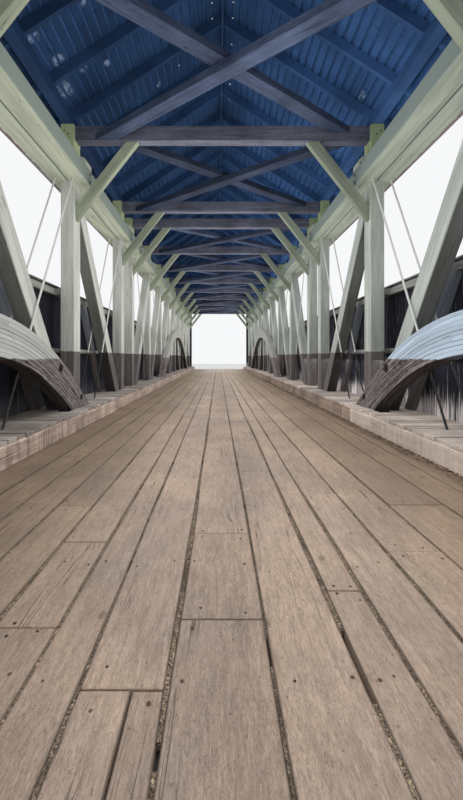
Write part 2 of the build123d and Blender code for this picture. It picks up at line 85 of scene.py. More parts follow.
# Floor, siding, ties and roof
DECK_HALF_WIDTH = 1.98
PLANK = 0.05
SUBFLOOR = 0.05
SUBFLOOR_HALF_WIDTH = 2.165
CURB_HEIGHT = 0.24
CURB_CHAMFER = 0.018
LEDGE = 0.04
LEDGE_INNER = 2.13
SIDING_INNER = 2.761
SIDING_BOARD = 0.025
SIDING_TOP = 2.14
SIDING_LOW = -1.0
CAP = 0.03
CAP_INNER_LIP = 0.04
CAP_OUTER_LIP = 0.036
RAIL_THICKNESS = 0.08
RAIL_LEVELS = ((0.06, 0.2), (1.06, 1.14), (2.0, 2.1))
STRUT_DEPTH = 0.16
STRUT_HEAD_SHARE = 0.43
STRUT_FOOT_SHARE = 0.78
TIE_LOW = 4.47
TIE_WIDTH = 0.15
KNEE_FOOT = (3.19, 3.44)
KNEE_HEAD = (1.357, 1.56)
KNEE_WIDTH = 0.1
UPPER_BRACE_WIDTH = 0.19
UPPER_BRACE_DEPTH = 0.11
UPPER_BRACE_REACH = 1.87
LOWER_BRACE_WIDTH = 0.13
LOWER_BRACE_DEPTH = 0.11
PLATE_MIDDLE = 2.4625
PLATE_HIGH = 4.85
ROOF_SLOPE = 0.65
RAFTER_DEPTH = 0.14
BIRDSMOUTH = 0.05
EAVE_REACH = 3.25
ROOF_OVERHANG = 0.45
PORTAL_HALF_OPENING = 2.2

# Masonry
SEAT_LEVEL = -1.1
BEARING_REACH = 0.345
BATTER = 0.05
PIER_HALF_LENGTH = 3.05
CUTWATER = 0.7
COPING_DEPTH = 0.3
COPING_LIP = 0.06
ABUTMENT_HALF_WIDTH = 3.05
BACKWALL = 0.9
BACKWALL_CLEARANCE = 0.015

# Camera: eye above the deck, and the picture's focal length in pixels
EYE = (-0.07, -12.655, 1.0)
PICTURE = (463, 800)
FOCAL_PIXELS = 345
VANISHING_POINT = (218.1, 357)

# Directions, sides and ends of the bridge
ACROSS = (1, 0, 0)
ALONG = (0, 1, 0)
UP = (0, 0, 1)
HANDS = {-1: "left", 1: "right"}
ENDS = {-1: "near", 1: "far"}

# Places worked out from the sizes above
half_length = (NEAR_BAYS * NEAR_BAY + PIER_GAP + FAR_BAYS * FAR_BAY) / 2
near_posts = [-half_length + i * NEAR_BAY for i in range(NEAR_BAYS + 1)]
far_posts = [near_posts[-1] + PIER_GAP + i * FAR_BAY for i in range(FAR_BAYS + 1)]
all_posts = near_posts + far_posts
near_middle = (near_posts[0] + near_posts[-1]) / 2
far_middle = (far_posts[0] + far_posts[-1]) / 2
pier_middle = (near_posts[-1] + far_posts[0]) / 2
portal_face = half_length + POST_DEPTH / 2
deck_end = half_length + CHORD_RUN_ON
roof_end = portal_face + SIDING_BOARD + ROOF_OVERHANG
slope_secant = math.hypot(1, ROOF_SLOPE)
slope_angle = math.atan(ROOF_SLOPE)
slope_length = EAVE_REACH * slope_secant
roof_underside = PLATE_HIGH - BIRDSMOUTH + PLATE_MIDDLE * ROOF_SLOPE + RAFTER_DEPTH * slope_secant
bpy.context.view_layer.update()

# Each arch: its middle along the bridge, crown, radius at the crown and reach of its
# feet from the middle, and the random seed and number of boards of its plies
Arch = namedtuple("Arch", "middle crown radius reach seed boards")
ARCHES = {"near": Arch(near_middle, *NEAR_CROWN, near_middle - near_posts[0], 60, 3),
          "far": Arch(far_middle, *FAR_CROWN, far_middle - far_posts[0], 64, 5)}


def level(height):
    """Height above the foot of the masonry for a height above the deck."""
    return DECK_HEIGHT + height


def bays():
    """Each bay as its inner post, toward the middle of its span, and its outer post."""
    pairs = []
    for posts in (near_posts, far_posts):
        for i in range(len(posts) // 2):
            pairs.append((posts[i + 1], posts[i]))
            pairs.append((posts[-i - 2], posts[-i - 1]))
    return pairs


def sided(side, a, b):
    """A range on one side of the middle, as its low and high end."""
    return tuple(sorted((side * a, side * b)))


def lengths(chance, start, stop, sizes, rest=0.02):
    """Start and stop of board after board, until less than a rest is left."""
    while start < stop - rest:
        length = min(chance.uniform(*sizes), stop - start)
        yield start, start + length
        start += length


# Mesh building


class Piece:
    """Gathers the solids of one piece. Each solid keeps its own grain and tone.

    Three vectors are stored on the vertices: span, the place from the middle of
    the solid along its two cross directions and its grain, half, the half sizes
    in the same directions, and seed, three random numbers.
    """

    def __init__(self, name, seed):
        self.name = name
        self.random = random.Random(seed)
        self.verts = []
        self.faces = []
        self.span = []
        self.half = []
        self.seed = []

    def add(self, verts, faces, span, half):
        """Takes in one closed mesh and draws its seed."""
        start = len(self.verts)
        seed = [self.random.random() for _ in range(3)]
        self.verts += verts
        self.faces += [[start + i for i in face] for face in faces]
        self.span += span
        self.half += [half] * len(verts)
        self.seed += [seed] * len(verts)

    def solid(self, verts, faces, grain, side=None):
        """A closed mesh, with its grain along one direction."""
        grain = Vector(grain).normalized()
        if side is None:
            side = UP if abs(grain.z) < 0.8 else ALONG
        first = Vector(side).cross(grain).normalized()
        axes = (first, grain.cross(first), grain)
        places = [[v.dot(axis) for axis in axes] for v in verts]
        lows = [min(p[i] for p in places) for i in range(3)]
        highs = [max(p[i] for p in places) for i in range(3)]
        middle = [(a + b) / 2 for a, b in zip(lows, highs)]
        half = [(b - a) / 2 for a, b in zip(lows, highs)]
        self.add(verts, faces, [[p[i] - middle[i] for i in range(3)] for p in places], half)

    def prism(self, low_ring, high_ring, grain, side=None):
        """A solid between two rings of points."""
        count = len(low_ring)
        verts = [Vector(p) for p in low_ring] + [Vector(p) for p in high_ring]
        faces = [list(range(count))[::-1], list(range(count, 2 * count))]
        for i in range(count):
            j = (i + 1) % count
            faces.append([i, j, count + j, count + i])
        self.solid(verts, faces, grain, side)

    def box(self, x_range, y_range, z_range, grain, turn=0.0):
        """A squared stick or board, which may be turned a little in plan."""
        (x0, x1), (y0, y1), (z0, z1) = x_range, y_range, z_range
        xm, ym = (x0 + x1) / 2, (y0 + y1) / 2
        ring = [(x - xm, y - ym) for x, y in ((x0, y0), (x1, y0), (x1, y1), (x0, y1))]
        turned = [(xm + dx - dy * turn, ym + dy + dx * turn) for dx, dy in ring]
        self.prism([(x, y, level(z0)) for x, y in turned],
                   [(x, y, level(z1)) for x, y in turned], grain)

    def across(self, outline, x_range, grain):
        """A (y, z) outline drawn out across the bridge, with heights above the deck."""
        low, high = [[(x, y, level(z)) for y, z in outline] for x in x_range]
        self.prism(low, high, grain)

    def along(self, outline, y_range, grain):
        """An (x, z) outline drawn out along the bridge, with heights above the deck."""
        low, high = [[(x, y, level(z)) for x, z in outline] for y in y_range]
        self.prism(low, high, grain)

    def disc(self, centre, axis, radius, height, sides=8):
        """A nail head, bolt head or nut: a short prism along an axis."""
        axis = Vector(axis).normalized()
        first = axis.orthogonal().normalized()
        second = axis.cross(first)
        centre = Vector(centre)
        turn = self.random.random()
        ring = []
        for i in range(sides):
            a = 2 * math.pi * (i + turn) / sides
            ring.append(centre + (first * math.cos(a) + second * math.sin(a)) * radius)
        self.prism(ring, [p + axis * height for p in ring], axis, first)

    def finish(self, material, slot, nodes=(), bevel=0.0):
        """Turns what was gathered into an object that rides on the bridge."""
        mesh = bpy.data.meshes.new(self.name)
        mesh.from_pydata(self.verts, [], self.faces)
        for name, values in (("span", self.span), ("half", self.half), ("seed", self.seed)):
            attribute = mesh.attributes.new(name, "FLOAT_VECTOR", "POINT")
            attribute.data.foreach_set("vector", [c for value in values for c in value])
        shell = bmesh.new()
        shell.from_mesh(mesh)
        bmesh.ops.recalc_face_normals(shell, faces=shell.faces)
        shell.to_mesh(mesh)
        shell.free()
        mesh.materials.append(materials[material])
        piece = bpy.data.objects.new(self.name, mesh)
        bpy.context.scene.collection.objects.link(piece)
        if bevel:
            soften(piece, bevel)
        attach(piece, "root")
        if nodes:
            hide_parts(*nodes)


def soften(piece, width):
    """Worn arrises along the sharp edges of a timber."""
    modifier = piece.modifiers.new("worn_edges", "BEVEL")
    modifier.width = width
    modifier.segments = 1
    modifier.limit_method = "ANGLE"
    modifier.angle_limit = math.radians(50)


# Node trees


class Field:
    """A number, vector or colour in a node tree, which is added up like a plain number."""

    def __init__(self, nodes, socket):
        self.nodes = nodes
        self.socket = socket

    def __add__(self, other):
        return self.nodes.number("ADD", self, other)

    def __sub__(self, other):
        return self.nodes.number("SUBTRACT", self, other)

    def __rsub__(self, other):
        return self.nodes.number("SUBTRACT", other, self)

    def __mul__(self, other):
        return self.nodes.number("MULTIPLY", self, other)

    def __abs__(self):
        return self.nodes.number("ABSOLUTE", self)

    def most(self, other):
        """The larger of two numbers."""
        return self.nodes.number("MAXIMUM", self, other)

    def ramp(self, low, high, out_low=0.0, out_high=1.0):
        """A smooth step from one value to another."""
        inputs = {"Value": self, "From Min": low, "From Max": high, "To Min": out_low,
                  "To Max": out_high}
        return self.nodes.field("MapRange", inputs, "Result", interpolation_type="SMOOTHSTEP")

    def fall(self, low, high, top=1.0):
        """A smooth step from a value down to nothing."""
        return self.ramp(low, high, top, 0.0)


class Nodes:
    """A node tree that is put together from a few kinds of step."""

    def __init__(self, tree):
        self.tree = tree

    def put(self, socket, value):
        """Links a socket, or writes a plain value into it."""
        if isinstance(value, Field):
            self.tree.links.new(value.socket, socket)
        elif isinstance(value, tuple) and socket.type == "RGBA":
            socket.default_value = (*value, 1)
        else:
            socket.default_value = value

    def node(self, kind, inputs, **settings):
        """A new node with its settings and inputs."""
        node = self.tree.nodes.new("ShaderNode" + kind)
        for key, value in settings.items():
            setattr(node, key, value)
        for key, value in inputs.items():
            self.put(node.inputs[key], value)
        return node

    def field(self, kind, inputs, output=0, **settings):
        """One output of a new node."""
        return Field(self, self.node(kind, inputs, **settings).outputs[output])

    def number(self, operation, a, b=0.0):
        """A sum, a product or another step with numbers."""
        return self.field("Math", {0: a, 1: b}, operation=operation)

    def vector(self, operation, a, b=(0, 0, 0), output=0):
        """A step with vectors, which may give a number."""
        return self.field("VectorMath", {0: a, 1: b}, output, operation=operation)

    def parts(self, vector):
        """The three numbers of a vector."""
        return [Field(self, output) for output in self.node("SeparateXYZ", {0: vector}).outputs]

    def mix(self, factor, a, b, blend="MIX"):
        """A colour between two others."""
        return self.field("Mix", {"Factor": factor, 6: a, 7: b}, 2, data_type="RGBA",
                          blend_type=blend)

    def tint(self, colour, by):
        """A colour multiplied by another one."""
        return self.mix(1.0, colour, by, "MULTIPLY")

    def dim(self, colour, share):
        """A colour multiplied by a number."""
        return self.tint(colour, self.field("CombineColor", {i: share for i in range(3)}))


def deeper(colour, share):
    """A share of a plain colour."""
    return tuple(c * share for c in colour)


# Materials

# Paint stops at these heights on the whitewashed timbers and irons, and on the arches
PAINT_LEVEL = 1.09
ARCH_PAINT_LEVEL = 0.975
# Painted shade: the whitewash on the right side is drawn darker and cooler than on the left
RIGHT_PAINTED_SHADE = (0.84, 0.855, 0.9)
# Painted light: pale streaks low on the inside of the siding reach up to here
PAINTED_LIGHT_LEVEL = 0.72
# Strength of the relief of a surface, and depth of the relief of wood
RELIEF_STRENGTH = 0.6
WOOD_RELIEF = 0.003
# Painted daylight: pale patches under the roof, as places across and along the bridge with their
# reach
PAINTED_DAYLIGHT_PATCHES = ((-2.27, -7.9, 0.09), (-2.38, -7.46, 0.15), (-2.05, -7.6, 0.07),
                (-2.39, -8.33, 0.08), (-1.77, -8.36, 0.06), (-1.75, -7.45, 0.06),
                (-1.12, -6.52, 0.05), (-1.5, -9.3, 0.13), (2.2, -7.2, 0.1), (1.3, -5.3, 0.12))
# Streaks of the grain to a metre
STREAK = 26.0
CURB_STREAK = 30.0
SIDING_STREAK = 40.0
# Paints, and woods as a dark and a light tone, two of them with the tone of their faces
CREAM = (0.57, 0.59, 0.535)
GREENISH = (0.5, 0.54, 0.425)
# Under the roof: dark navy as a painted shade with a painted blue haze; rafters drawn paler on
# faces that look along the bridge, a painted light
NAVY_SHADE_AND_HAZE = ((0.022, 0.06, 0.15), (0.038, 0.1, 0.25))
RAFTER = ((0.024, 0.06, 0.148), (0.038, 0.093, 0.225), (0.052, 0.125, 0.29))
LATH = (*NAVY_SHADE_AND_HAZE, (0.026, 0.066, 0.165))
PAINTED_DAYLIGHT = (0.22, 0.3, 0.44)
EAVES_WOOD = ((0.06, 0.055, 0.05), (0.22, 0.2, 0.18))
SHINGLE_TOP = ((0.07, 0.07, 0.078), (0.24, 0.225, 0.21))
# Siding: its inside drawn dark as a painted shade, and the pale of the painted light low down
# inside
SIDING_INSIDE_SHADE = ((0.003, 0.004, 0.009), (0.026, 0.028, 0.041))
SIDING_OUTSIDE = ((0.09, 0.085, 0.08), (0.33, 0.31, 0.285))
SIDING_PAINTED_LIGHT = (0.62, 0.58, 0.58)
# Tie bracing: dark and bluish like the underside of the roof, a painted shade with a painted blue
# haze
TIE_BRACE_SHADE_AND_HAZE = ((0.021, 0.029, 0.053), (0.073, 0.096, 0.163))
TIE = ((0.062, 0.066, 0.093), (0.19, 0.2, 0.26))
SHADED = ((0.07, 0.06, 0.058), (0.18, 0.155, 0.14))
ARCH_WOOD = {"dark": (0.016, 0.014, 0.018), "light": (0.3, 0.258, 0.25), "streak": 60.0,
             "contrast": 2.6, "thin": 0.86, "underside_painted_light": 0.35, "paint_end": ARCH_PAINT_LEVEL}


class Finish(Nodes):
    """A node material with the places, faces and solids that it colours."""

    def __init__(self, name, roughness=0.85, specular=0.25):
        self.material = bpy.data.materials.new(name)
        self.material.use_nodes = True
        super().__init__(self.material.node_tree)
        self.shader = self.tree.nodes["Principled BSDF"]
        self.shader.inputs["Roughness"].default_value = roughness
        self.shader.inputs["Specular IOR Level"].default_value = specular

    @cached_property
    def place(self):
        """Place in the bridge, in metres."""
        return self.field("TexCoord", {}, "Object")

    @cached_property
    def xyz(self):
        """Place in the bridge, as three numbers."""
        return self.parts(self.place)

    @cached_property
    def normal(self):
        """Direction that the face looks in, as three numbers."""
        return self.parts(self.field("NewGeometry", {}, "True Normal"))

    def attribute(self, name):
        """One of the vectors stored on the solid."""
        return self.field("Attribute", {}, "Vector", attribute_name=name)

    def seed(self, i, low=0.0, high=1.0):
        """One of the solid's random numbers, between two values."""
        return self.parts(self.attribute("seed"))[i].ramp(0.0, 1.0, low, high)

    def edge_distance(self):
        """Distance from the faces of a solid, along its cross directions and its grain."""
        span = self.parts(self.vector("ABSOLUTE", self.attribute("span")))
        return [h - s for h, s in zip(self.parts(self.attribute("half")), span)]

    def noise(self, vector, detail=3.0, roughness=0.55, distortion=0.0):
        """Noise whose clouds are about as wide as one unit of the vector."""
        inputs = {"Vector": vector, "Scale": 1.0, "Detail": detail, "Roughness": roughness,
                  "Distortion": distortion}
        return self.field("TexNoise", inputs, "Fac")

    def clouds(self, scale, *shape):
        """Noise over the bridge, with so many clouds to the metre, or to each way's metre."""
        scale = scale if isinstance(scale, tuple) else (scale,) * 3
        return self.noise(self.vector("MULTIPLY", self.place, scale), *shape)

    def cells(self, over, scale):
        """Distance from the nearest of many scattered points."""
        vector = self.vector("MULTIPLY", over, scale)
        return self.field("TexVoronoi", {"Vector": vector, "Scale": 1.0}, "Distance")

    def done(self, colour, height, depth=WOOD_RELIEF):
        """The material with its colour and the relief of its surface."""
        relief = {"Height": height, "Distance": depth, "Strength": RELIEF_STRENGTH}
        self.put(self.shader.inputs["Base Color"], colour)
        self.put(self.shader.inputs["Normal"], self.field("Bump", relief, "Normal"))
        return self.material


class Timber(Finish):
    """Rough wood with its grain along an axis of the bridge, or its own: fibres and cracks."""

    def __init__(self, name, axis="own", roughness=0.9, specular=0.25, trodden=False):
        super().__init__(name, roughness, specular)
        self.trodden = trodden
        self.grain = self.grain_place(axis)
        fibres = (170, 170, 30) if trodden else (210, 210, 9)
        self.fine = self.streaks(fibres, 3.0, 0.65, 0.4)
        field = self.streaks((17, 17, 0.55), 2.0, 0.5)
        rare = self.streaks((5, 5, 1.1), 1.0)
        first = 0.53 if trodden else 0.47
        self.crack = abs(field - 0.5).fall(0.0, 0.009) * rare.ramp(first, first + 0.12)
        self.height = self.fine * 0.6 - self.crack * 1.2

    def grain_place(self, axis):
        """Place with the grain along its third number."""
        if axis == "own":
            shift = self.vector("MULTIPLY", self.attribute("seed"), (17.3, 23.1, 31.7))
            return self.vector("ADD", self.attribute("span"), shift)
        x, y, z = self.xyz
        order = {"x": (y, z, x), "y": (x, z, y), "z": (x, y, z)}[axis]
        return self.field("CombineXYZ", dict(enumerate(order)))

    def streaks(self, scale, *shape):
        """Noise with the grain, with so many streaks to the metre each way."""
        return self.noise(self.vector("MULTIPLY", self.grain, scale), *shape)

    def tones(self, dark, light, streak=STREAK, contrast=1.0):
        """Colour between two tones, by broad streaks and fine grain, with cracks and knots."""
        streaks = (1.6 * streak, 1.6 * streak, 6) if self.trodden else (streak, streak, 1.1)
        knots, knot = ((4.6, 4.6, 3.0), 0.1) if self.trodden else ((3.4, 3.4, 2.2), 0.075)
        tone = self.streaks(streaks, 4.0, 0.6, 0.5) * 0.55 + self.fine * 0.65
        reach = 0.25 / contrast
        colour = self.mix(tone.ramp(0.6 - reach, 0.6 + reach), dark, light)
        knot = self.cells(self.grain, knots).fall(knot * 0.5, knot)
        return self.mix((self.crack * 0.75).most(knot * 0.5), colour, deeper(dark, 0.25))


def trodden_wear(finish, colour, cloud, dark):
    """Wear of a floor: warm and cool clouds, torn fibres along the grain, and darker sides with a
    painted shade near the eye.
    """
    warmth = finish.mix(cloud.ramp(0.3, 0.7), (0.985, 1.0, 1.03), (1.015, 1.0, 0.97))
    colour = finish.tint(colour, warmth)
    torn = abs(finish.streaks((155, 155, 34), 2.5, 0.6, 0.9) - 0.5)
    patch = finish.clouds((7, 3, 7), 2.0)
    fibres = torn.fall(0.0, 0.045) * patch.ramp(0.25, 0.6, 0.25, 0.6)
    colour = finish.mix(fibres, colour, deeper(dark, 0.45))
    colour = finish.tint(colour, side_tone_and_painted_shade(finish))
    side = abs(finish.xyz[0]).ramp(0.5, 1.6)
    return finish.mix(side, colour, finish.tint(colour, (1.0, 0.95, 0.85)))


def side_tone_and_painted_shade(finish):
    """Tone of the floor across the bridge: palest in the middle, darker towards the sides, and near
    the eye a painted shade where the darker sides reach further in.
    """
    x, y, _ = finish.xyz
    cloud = finish.clouds((0.9, 0.5, 0.9))
    shifted = x + (cloud - 0.5) * 0.9
    # Painted shade near the eye: the darker sides reach further in
    near = y.fall(EYE[1] + 0.7, EYE[1] + 2.2, 0.38)
    left = (shifted - near).ramp(-1.7, 0.1, 0.5, 1.0)
    right = (shifted + near).ramp(0.15, 1.9, 1.0, 0.58)
    return finish.mix(left * right, (0.0, 0.0, 0.0), (1.0, 1.0, 1.0))


def floor_dirt(finish, colour, dust):
    """Dirt on a floor: stains, specks, and loose dirt that lies along the curbs."""
    x = finish.xyz[0]
    stains = finish.cells(finish.place, (3.6, 2.4, 3.6)).fall(0.025, 0.05, 0.4)
    specks = finish.clouds((95, 62, 95), 2.0, 0.6).ramp(0.66, 0.72, 0.0, 0.65)
    reach = finish.clouds(1.3, 2.0)
    grains = finish.clouds((48, 36, 48), 4.0, 0.75)
    right = (DECK_HALF_WIDTH - x - reach * 0.16).fall(0.0, 0.14)
    left = (x + (DECK_HALF_WIDTH - 0.01)).fall(0.0, 0.08, 0.9)
    for share in (stains, specks, right.most(left) * grains.ramp(0.4, 0.54)):
        colour = finish.mix(share, colour, dust)
    return colour


def wood(name, dark, light, spread=0.3, roughness=0.85, streak=STREAK, axis="own",
         edge_dirt_and_painted_shadow=0.0, edge_reach=0.006, clouds=0.3, contrast=1.0, dust=None, stains=0.0):
    """Unpainted timber; with a colour for its dust, a floor that is walked on."""
    finish = Timber(name, axis, roughness, 0.4 if dust else 0.25, bool(dust))
    colour = finish.tones(dark, light, streak, contrast)
    cloud = finish.clouds(1.7, 4.0)
    shade = cloud.ramp(0.3, 0.7, 1 - clouds, 1 + clouds * 0.5)
    if axis == "own":
        shade = shade * finish.seed(0, 1 - spread, 1 + spread)
    colour = finish.dim(colour, shade)
    if stains:
        drips = finish.clouds((24, 24, 1.6), 4.0, 0.65)
        colour = finish.dim(colour, drips.ramp(0.34, 0.62, 1 - stains, 1 + stains * 0.3))
    if dust:
        colour = trodden_wear(finish, colour, cloud, dark)
    # Darker near the long edges of each board: dirt, and a painted shadow where boards meet
    if edge_dirt_and_painted_shadow:
        first, second, _ = finish.edge_distance()
        near_edge = first.most(second).fall(0.0, edge_reach, edge_dirt_and_painted_shadow)
        colour = finish.mix(near_edge, colour, deeper(dark, 0.2))
    if dust:
        colour = floor_dirt(finish, colour, dust)
    return finish.done(colour, finish.height)


def whitewash(name, paint, dark=(0.06, 0.054, 0.054), light=(0.21, 0.188, 0.18),
              axis="own", wear=0.4, thin=0.72, head_algae_and_painted_reflection=None, bare_lip=False,
              paint_end=PAINT_LEVEL, streak=STREAK, contrast=1.0, underside_painted_light=0.8, side_painted_shade=None,
              right=RIGHT_PAINTED_SHADE):
    """Rough timber whitewashed down to one level, worn through along the grain."""
    finish = Timber(name, axis, 0.8)
    bare = finish.tones(dark, light, streak, contrast)
    x, _, z = finish.xyz
    ragged = finish.clouds(9) - 0.5
    painted = (z + ragged * 0.05).ramp(level(paint_end) - 0.008, level(paint_end) + 0.008)
    worn = finish.streaks((34, 34, 2.6), 4.0, 0.65)
    worn = worn + finish.clouds(2.3, 2.0) * 0.45
    cover = painted * worn.ramp(wear, wear + 0.13) * finish.crack.ramp(0.2, 0.9, 1.0, 0.25)
    if bare_lip:
        edge = abs(x) + ragged * 0.07
        cover = cover * edge.fall(CHORD_OUTER - 0.062, CHORD_OUTER - 0.046)
    thickness = finish.streaks((11, 11, 0.8), 4.0, 0.65)
    coat = finish.mix(thickness.ramp(0.34, 0.62), deeper(paint, thin), paint)
    if axis == "own":
        coat = finish.dim(coat, finish.seed(1, 0.88, 1.06))
    # Green on the heads above the chord: algae, and a painted reflection of green light from
    # outside
    if head_algae_and_painted_reflection:
        coat = finish.mix(z.ramp(level(CHORD_LOW), level(CHORD_HIGH)), coat, head_algae_and_painted_reflection)
    nx, _, nz = finish.normal
    # Painted shade: faces that look across the bridge are drawn darker
    if side_painted_shade:
        coat = finish.mix(abs(nx).ramp(0.4, 0.8), coat, side_painted_shade)
    # Painted shade: the whitewash on the right side is tinted darker by the colour right
    coat = finish.tint(coat, finish.mix(x.ramp(-1, 1), (1, 1, 1), right))
    # Faces turned down keep a share of the colour: below one a painted shade, as on braces and arch
    # bellies; above one a painted highlight, as under the chords
    colour = finish.dim(finish.mix(cover, bare, coat), nz.ramp(-0.5, -0.2, underside_painted_light, 1.0))
    return finish.done(colour, finish.height + cover * 0.5)


def stone(name, dark, light):
    """Weathered sandstone, one tone a block, rough at two sizes."""
    finish = Finish(name, 0.92)
    grit = finish.clouds(55, 4.0, 0.65)
    cloud = finish.clouds((3, 3, 5), 4.0, 0.6, 0.6)
    tone = finish.parts(finish.attribute("seed"))[0] * 0.5 + cloud * 0.7
    colour = finish.mix(tone.ramp(0.25, 1.0), dark, light)
    colour = finish.mix(grit.fall(0.35, 0.65, 0.3), colour, deeper(dark, 0.4))
    return finish.done(colour, grit + cloud * 1.4, 0.012)


def mortar():
    """Sunk lime mortar behind the stones."""
    finish = Finish("lime_mortar", 0.95)
    grit = finish.clouds(80)
    return finish.done(finish.mix(grit, (0.2, 0.185, 0.16), (0.36, 0.34, 0.3)), grit, 0.006)


def grit():
    """Sand, chaff and crumbs of wood, with a painted shadow along both sides of the seam."""
    finish = Finish("grit", 0.95)
    grains = finish.clouds(150, 3.0, 0.8)
    chaff = finish.clouds((95, 70, 95), 2.0, 0.6)
    clumps = finish.clouds((4, 9, 4), 3.0, 0.65)
    crevice_painted_shadow = finish.edge_distance()[0].fall(0.0008, 0.0022, 0.9)
    colour = finish.mix(grains.ramp(0.4, 0.6), (0.045, 0.033, 0.026), (0.31, 0.232, 0.17))
    colour = finish.mix(chaff.ramp(0.6, 0.66), colour, (0.5, 0.38, 0.25))
    colour = finish.mix(clumps.ramp(0.5, 0.62, 0.0, 0.6), colour, (0.05, 0.036, 0.028))
    return finish.done(finish.mix(crevice_painted_shadow, colour, (0.012, 0.01, 0.009)), grains, 0.004)


def indoors(finish):
    """Share of the roof's underside that lies between the trusses and the portals."""
    x, y, _ = finish.parts(finish.vector("ABSOLUTE", finish.place))
    between_trusses = x.fall(CHORD_OUTER, CHORD_OUTER + 0.15)
    between_portals = y.fall(portal_face, portal_face + 0.03)
    return between_trusses * between_portals


def shingle_wood():
    """Shingles that are weathered above, and dark below: inside the bridge dark navy, a painted
    shade with a painted blue haze.
    """
    finish = Timber("shingle_wood")
    above = finish.dim(finish.tones(*SHINGLE_TOP), finish.seed(0, 0.6, 1.35))
    below = finish.mix(indoors(finish), finish.tones(*EAVES_WOOD), finish.tones(*NAVY_SHADE_AND_HAZE))
    colour = finish.mix(finish.normal[2].ramp(-0.2, 0.2), below, above)
    return finish.done(colour, finish.height)


def siding_wood():
    """Boards drawn dark inside as a painted shade, with painted light in pale streaks low down on
    the right, and grey outside.
    """
    finish = Timber("siding_wood")
    x, y, z = finish.xyz
    nx, ny, _ = finish.normal
    streaks = finish.streaks((60, 60, 1.2), 4.0, 0.7)
    # Painted light: pale streaks low down inside, nearly all on the right side
    rise = z.ramp(level(CURB_HEIGHT), level(PAINTED_LIGHT_LEVEL), 0.0, 0.26)
    low = (streaks - rise).ramp(0.34, 0.48) * x.ramp(-0.5, 0.5, 0.06, 1.0)
    outward = (x * nx + y * ny).ramp(-0.1, 0.1)
    inner = finish.mix(low, finish.tones(*SIDING_INSIDE_SHADE, SIDING_STREAK), SIDING_PAINTED_LIGHT)
    colour = finish.mix(outward, inner, finish.tones(*SIDING_OUTSIDE, SIDING_STREAK))
    return finish.done(finish.dim(colour, finish.seed(0, 0.6, 1.4)), finish.height)


def roof_wood(name, dark, light, face, axis="own"):
    """Timber under the roof, dark navy as a painted shade with a painted blue haze, paler on its
    faces across the roadway as a painted light, darker to the left as a painted shade, and with
    pale patches of painted daylight.
    """
    finish = Timber(name, axis)
    face_painted_light = abs(finish.normal[1]).ramp(0.3, 0.8)
    colour = finish.mix(face_painted_light, finish.tones(dark, light), face)
    shade = finish.clouds(1.1).ramp(0.3, 0.7, 0.72, 1.28)
    # Painted shade and light: darker to the left, lighter to the right
    colour = finish.dim(colour, shade * finish.xyz[0].ramp(-2.4, 2.4, 0.52, 1.25))
    painted_daylight_mask = 0.0
    for x, y, reach in PAINTED_DAYLIGHT_PATCHES:
        spot = (x, y, level(roof_underside - abs(x) * ROOF_SLOPE))
        away = finish.vector("DISTANCE", finish.place, spot, "Value")
        painted_daylight_mask = finish.number("MAXIMUM", painted_daylight_mask, away.fall(reach * 0.5, reach * 1.2))
    rough = finish.clouds((21, 14, 21), 3.0, 0.7).ramp(0.4, 0.58, 0.1, 1.0)
    colour = finish.mix(painted_daylight_mask * rough, colour, PAINTED_DAYLIGHT)
    colour = finish.mix(indoors(finish), finish.tones(*EAVES_WOOD), colour)
    return finish.done(colour, finish.height)


def iron(name, dark=(0.02, 0.018, 0.019), light=(0.06, 0.04, 0.032), paint=None):
    """Rusty iron, with whitewash above the paint line if it has any."""
    finish = Finish(name, 0.62, 0.4)
    rust = finish.clouds((60, 60, 18))
    colour = finish.mix(rust.ramp(0.35, 0.7), dark, light)
    if paint:
        cover = finish.xyz[2].ramp(level(PAINT_LEVEL) - 0.006, level(PAINT_LEVEL) + 0.006)
        flaked = finish.clouds((45, 45, 9)).ramp(0.2, 0.34)
        colour = finish.mix(cover * flaked, colour, paint)
    return finish.done(colour, rust, 0.0015)


